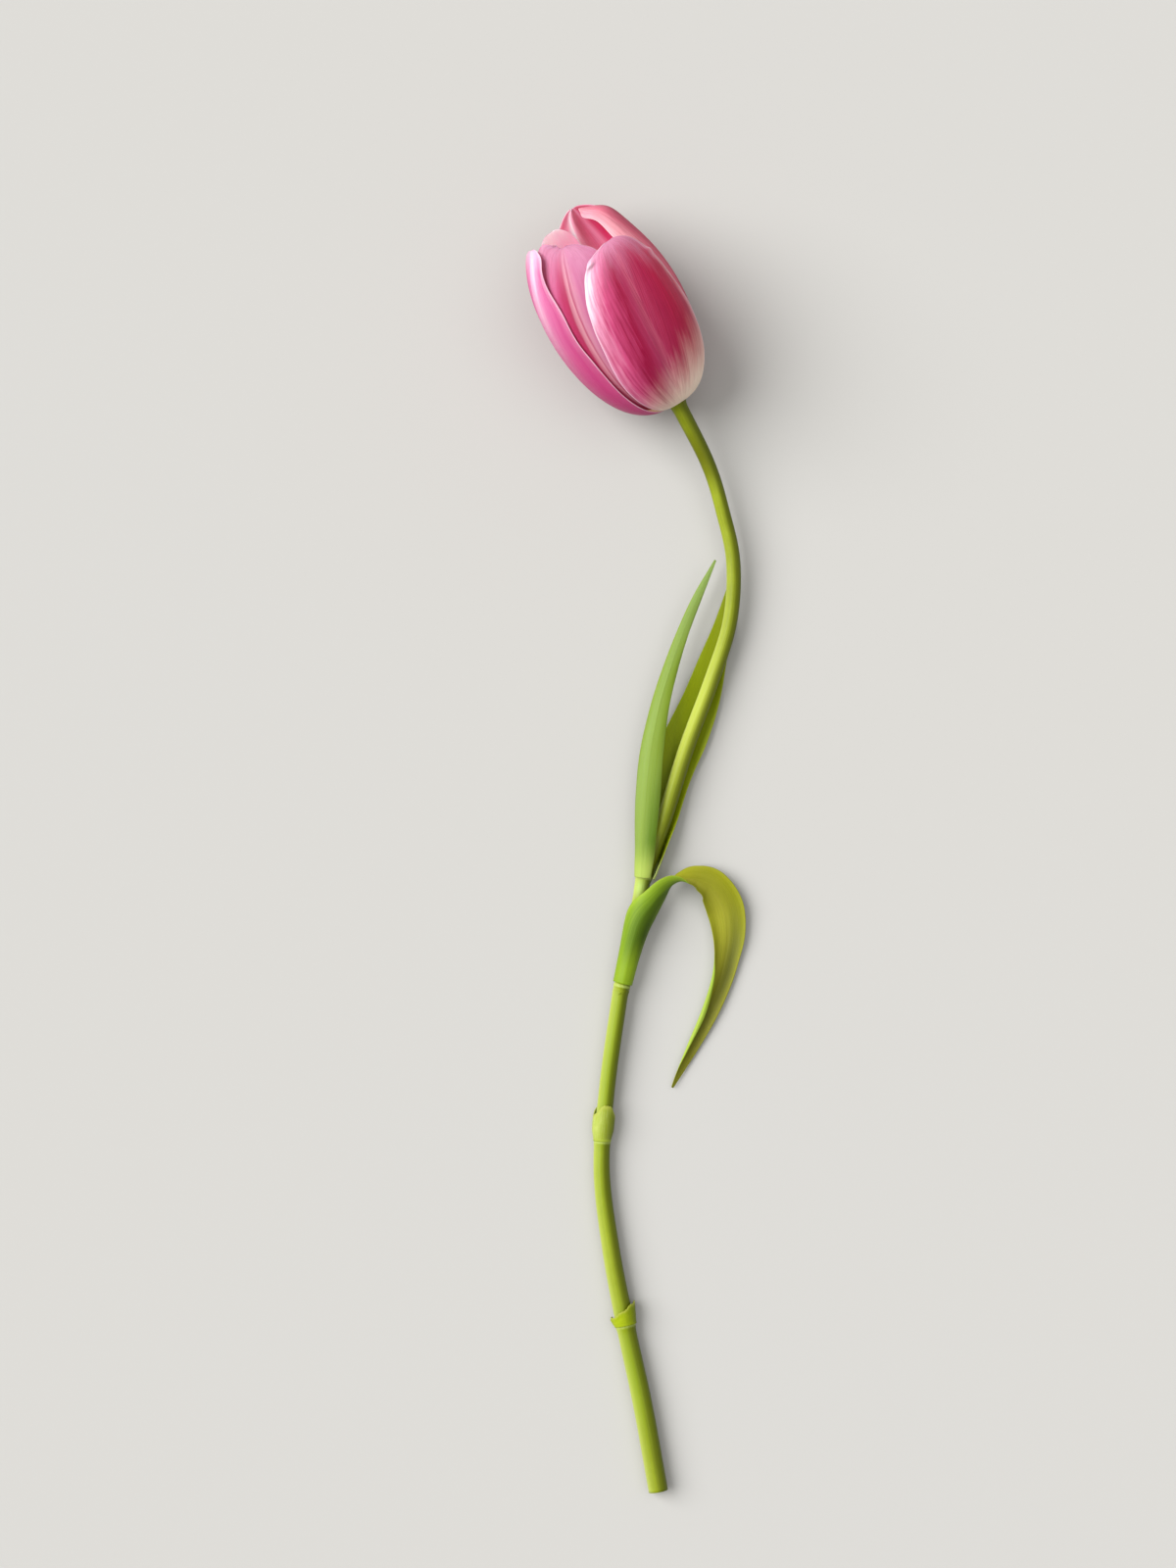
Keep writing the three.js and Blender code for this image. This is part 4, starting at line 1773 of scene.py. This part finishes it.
def stubs(stem: Stem) -> list[Stub]:
    """Gives the two stubs.

    Args:
        stem: The stem that they sit round.

    Returns:
        The stubs.
    """
    # Each finish's light side places its painted highlight, and its shade values place its patch of
    # painted shade.
    torn = LeafFinish(
        "upper_stub_face", 0x849214, 0xB6C070, 0x566000, 0x9C9C48, 0x9AA040,
        light_side=0.75, shade_side=-0.6, shade_share=0.5, shade_reach=2.0,
        edge_right=0.06, edge_left=0.06, tip_start=0.9, foot=0x8E9C30, foot_reach=0.1,
    )
    cuff = LeafFinish(
        "lower_stub_face", 0x849404, 0x9EAC1C, 0x5E6A00, 0x969A38, 0x94983A,
        light_side=0.7, shade_side=-0.7, shade_share=0.5, shade_reach=2.0,
        edge_right=0.06, edge_left=0.06, tip_start=0.9, foot=0x7A8608, foot_reach=0.1,
    )
    return [
        Stub("upper_stub", "leaf_stub_upper", -88.5, 11.4, 3.6, 0.15, 90.0, 0.4, stem, torn),
        Stub(
            "lower_stub", "leaf_stub_lower", -145.0, 6.6, 4.0, 0.7, 120.0, 1.57, stem, cuff,
            point_count=1.0, sink=0.25,
        ),
    ]


@dataclass
class Studio:
    """The camera, the pale floor and the soft lights."""

    camera_place: tuple[float, float] = (-14.55, 21.3)
    camera_height: float = 1200.0
    subject_height: float = 8.0
    pixel: float = 0.3
    image_height: int = 1600
    sensor: float = 36.0
    floor_drop: float = 0.2
    floor_reach: float = 12.0
    floor_colour: int = 0xAEACA8
    floor_cloud: int = 0xACADAE
    room_colour: int = 0xF1F1EE
    room_strength: float = 0.46

    def set_camera(self) -> None:
        """Puts the camera straight above, with the image's top towards +Y."""
        lens = bpy.data.cameras.new("camera")
        lens.sensor_width = self.sensor
        away = self.camera_height - self.subject_height
        lens.lens = self.sensor * away / (self.pixel * self.image_height)
        camera = bpy.data.objects.new("camera", lens)
        camera.location = Vector((*self.camera_place, self.camera_height)) * MM
        bpy.context.collection.objects.link(camera)
        bpy.context.scene.camera = camera

    def lay_floor(self) -> None:
        """Lays the plain pale floor just under the object."""
        form = bmesh.new()
        bmesh.ops.create_grid(form, x_segments=1, y_segments=1, size=self.floor_reach)
        bmesh.ops.translate(form, verts=form.verts, vec=(0.0, 0.0, -self.floor_drop * MM))
        mesh = bpy.data.meshes.new("floor")
        form.to_mesh(mesh)
        form.free()
        shade = Shade("pale_floor")
        cloud = shade.grain(shade.object_place(), 3.0, 2.0)
        colour = shade.blend(cloud * 0.3, self.floor_colour, self.floor_cloud)
        mesh.materials.append(shade.surface(colour, 0.9, None, 0.0, {"Specular IOR Level": 0.1}))
        floor = bpy.data.objects.new("floor", mesh)
        bpy.context.collection.objects.link(floor)

    def add_light(
        self, name: str, place: tuple[float, float, float], spread: float, power: float
    ) -> None:
        """Adds a soft even light.

        Args:
            name: The light's name.
            place: The direction that it comes from.
            spread: How wide it looks from the object, in degrees.
            power: Its power in watts to a square metre.
        """
        data = bpy.data.lights.new(name, "SUN")
        data.angle = math.radians(spread)
        data.energy = power
        light = bpy.data.objects.new(name, data)
        light.rotation_euler = (-Vector(place)).to_track_quat("-Z", "Y").to_euler()
        bpy.context.collection.objects.link(light)

    def light(self) -> None:
        """Lights the object softly from the left, with a little from above and all round."""
        self.add_light("window", (-1.1, 0.35, 1.1), 50.0, 4.7)
        self.add_light("fill", (0.35, 0.2, 1.5), 60.0, 1.0)
        world = bpy.data.worlds.new("room")
        world.use_nodes = True
        backdrop = world.node_tree.nodes["Background"]
        backdrop.inputs["Color"].default_value = (*tint(self.room_colour), 1.0)
        backdrop.inputs["Strength"].default_value = self.room_strength
        scene = bpy.context.scene
        scene.world = world
        scene.view_settings.view_transform = "Standard"


def main() -> None:
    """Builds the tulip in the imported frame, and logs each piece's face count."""
    logging.basicConfig(level=logging.INFO, format="%(message)s")
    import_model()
    studio = Studio()
    studio.set_camera()
    stem = Stem()
    pieces = stem.build()
    for leaf in leaves():
        pieces += leaf.build()
    for stub in stubs(stem):
        pieces += stub.build()
    pieces += Bloom().build()
    for piece in pieces:
        LOG.info("%s: %d faces", piece.name, len(piece.data.polygons))
    studio.lay_floor()
    studio.light()
    bpy.context.view_layer.update()


if __name__ == "__main__":
    main()
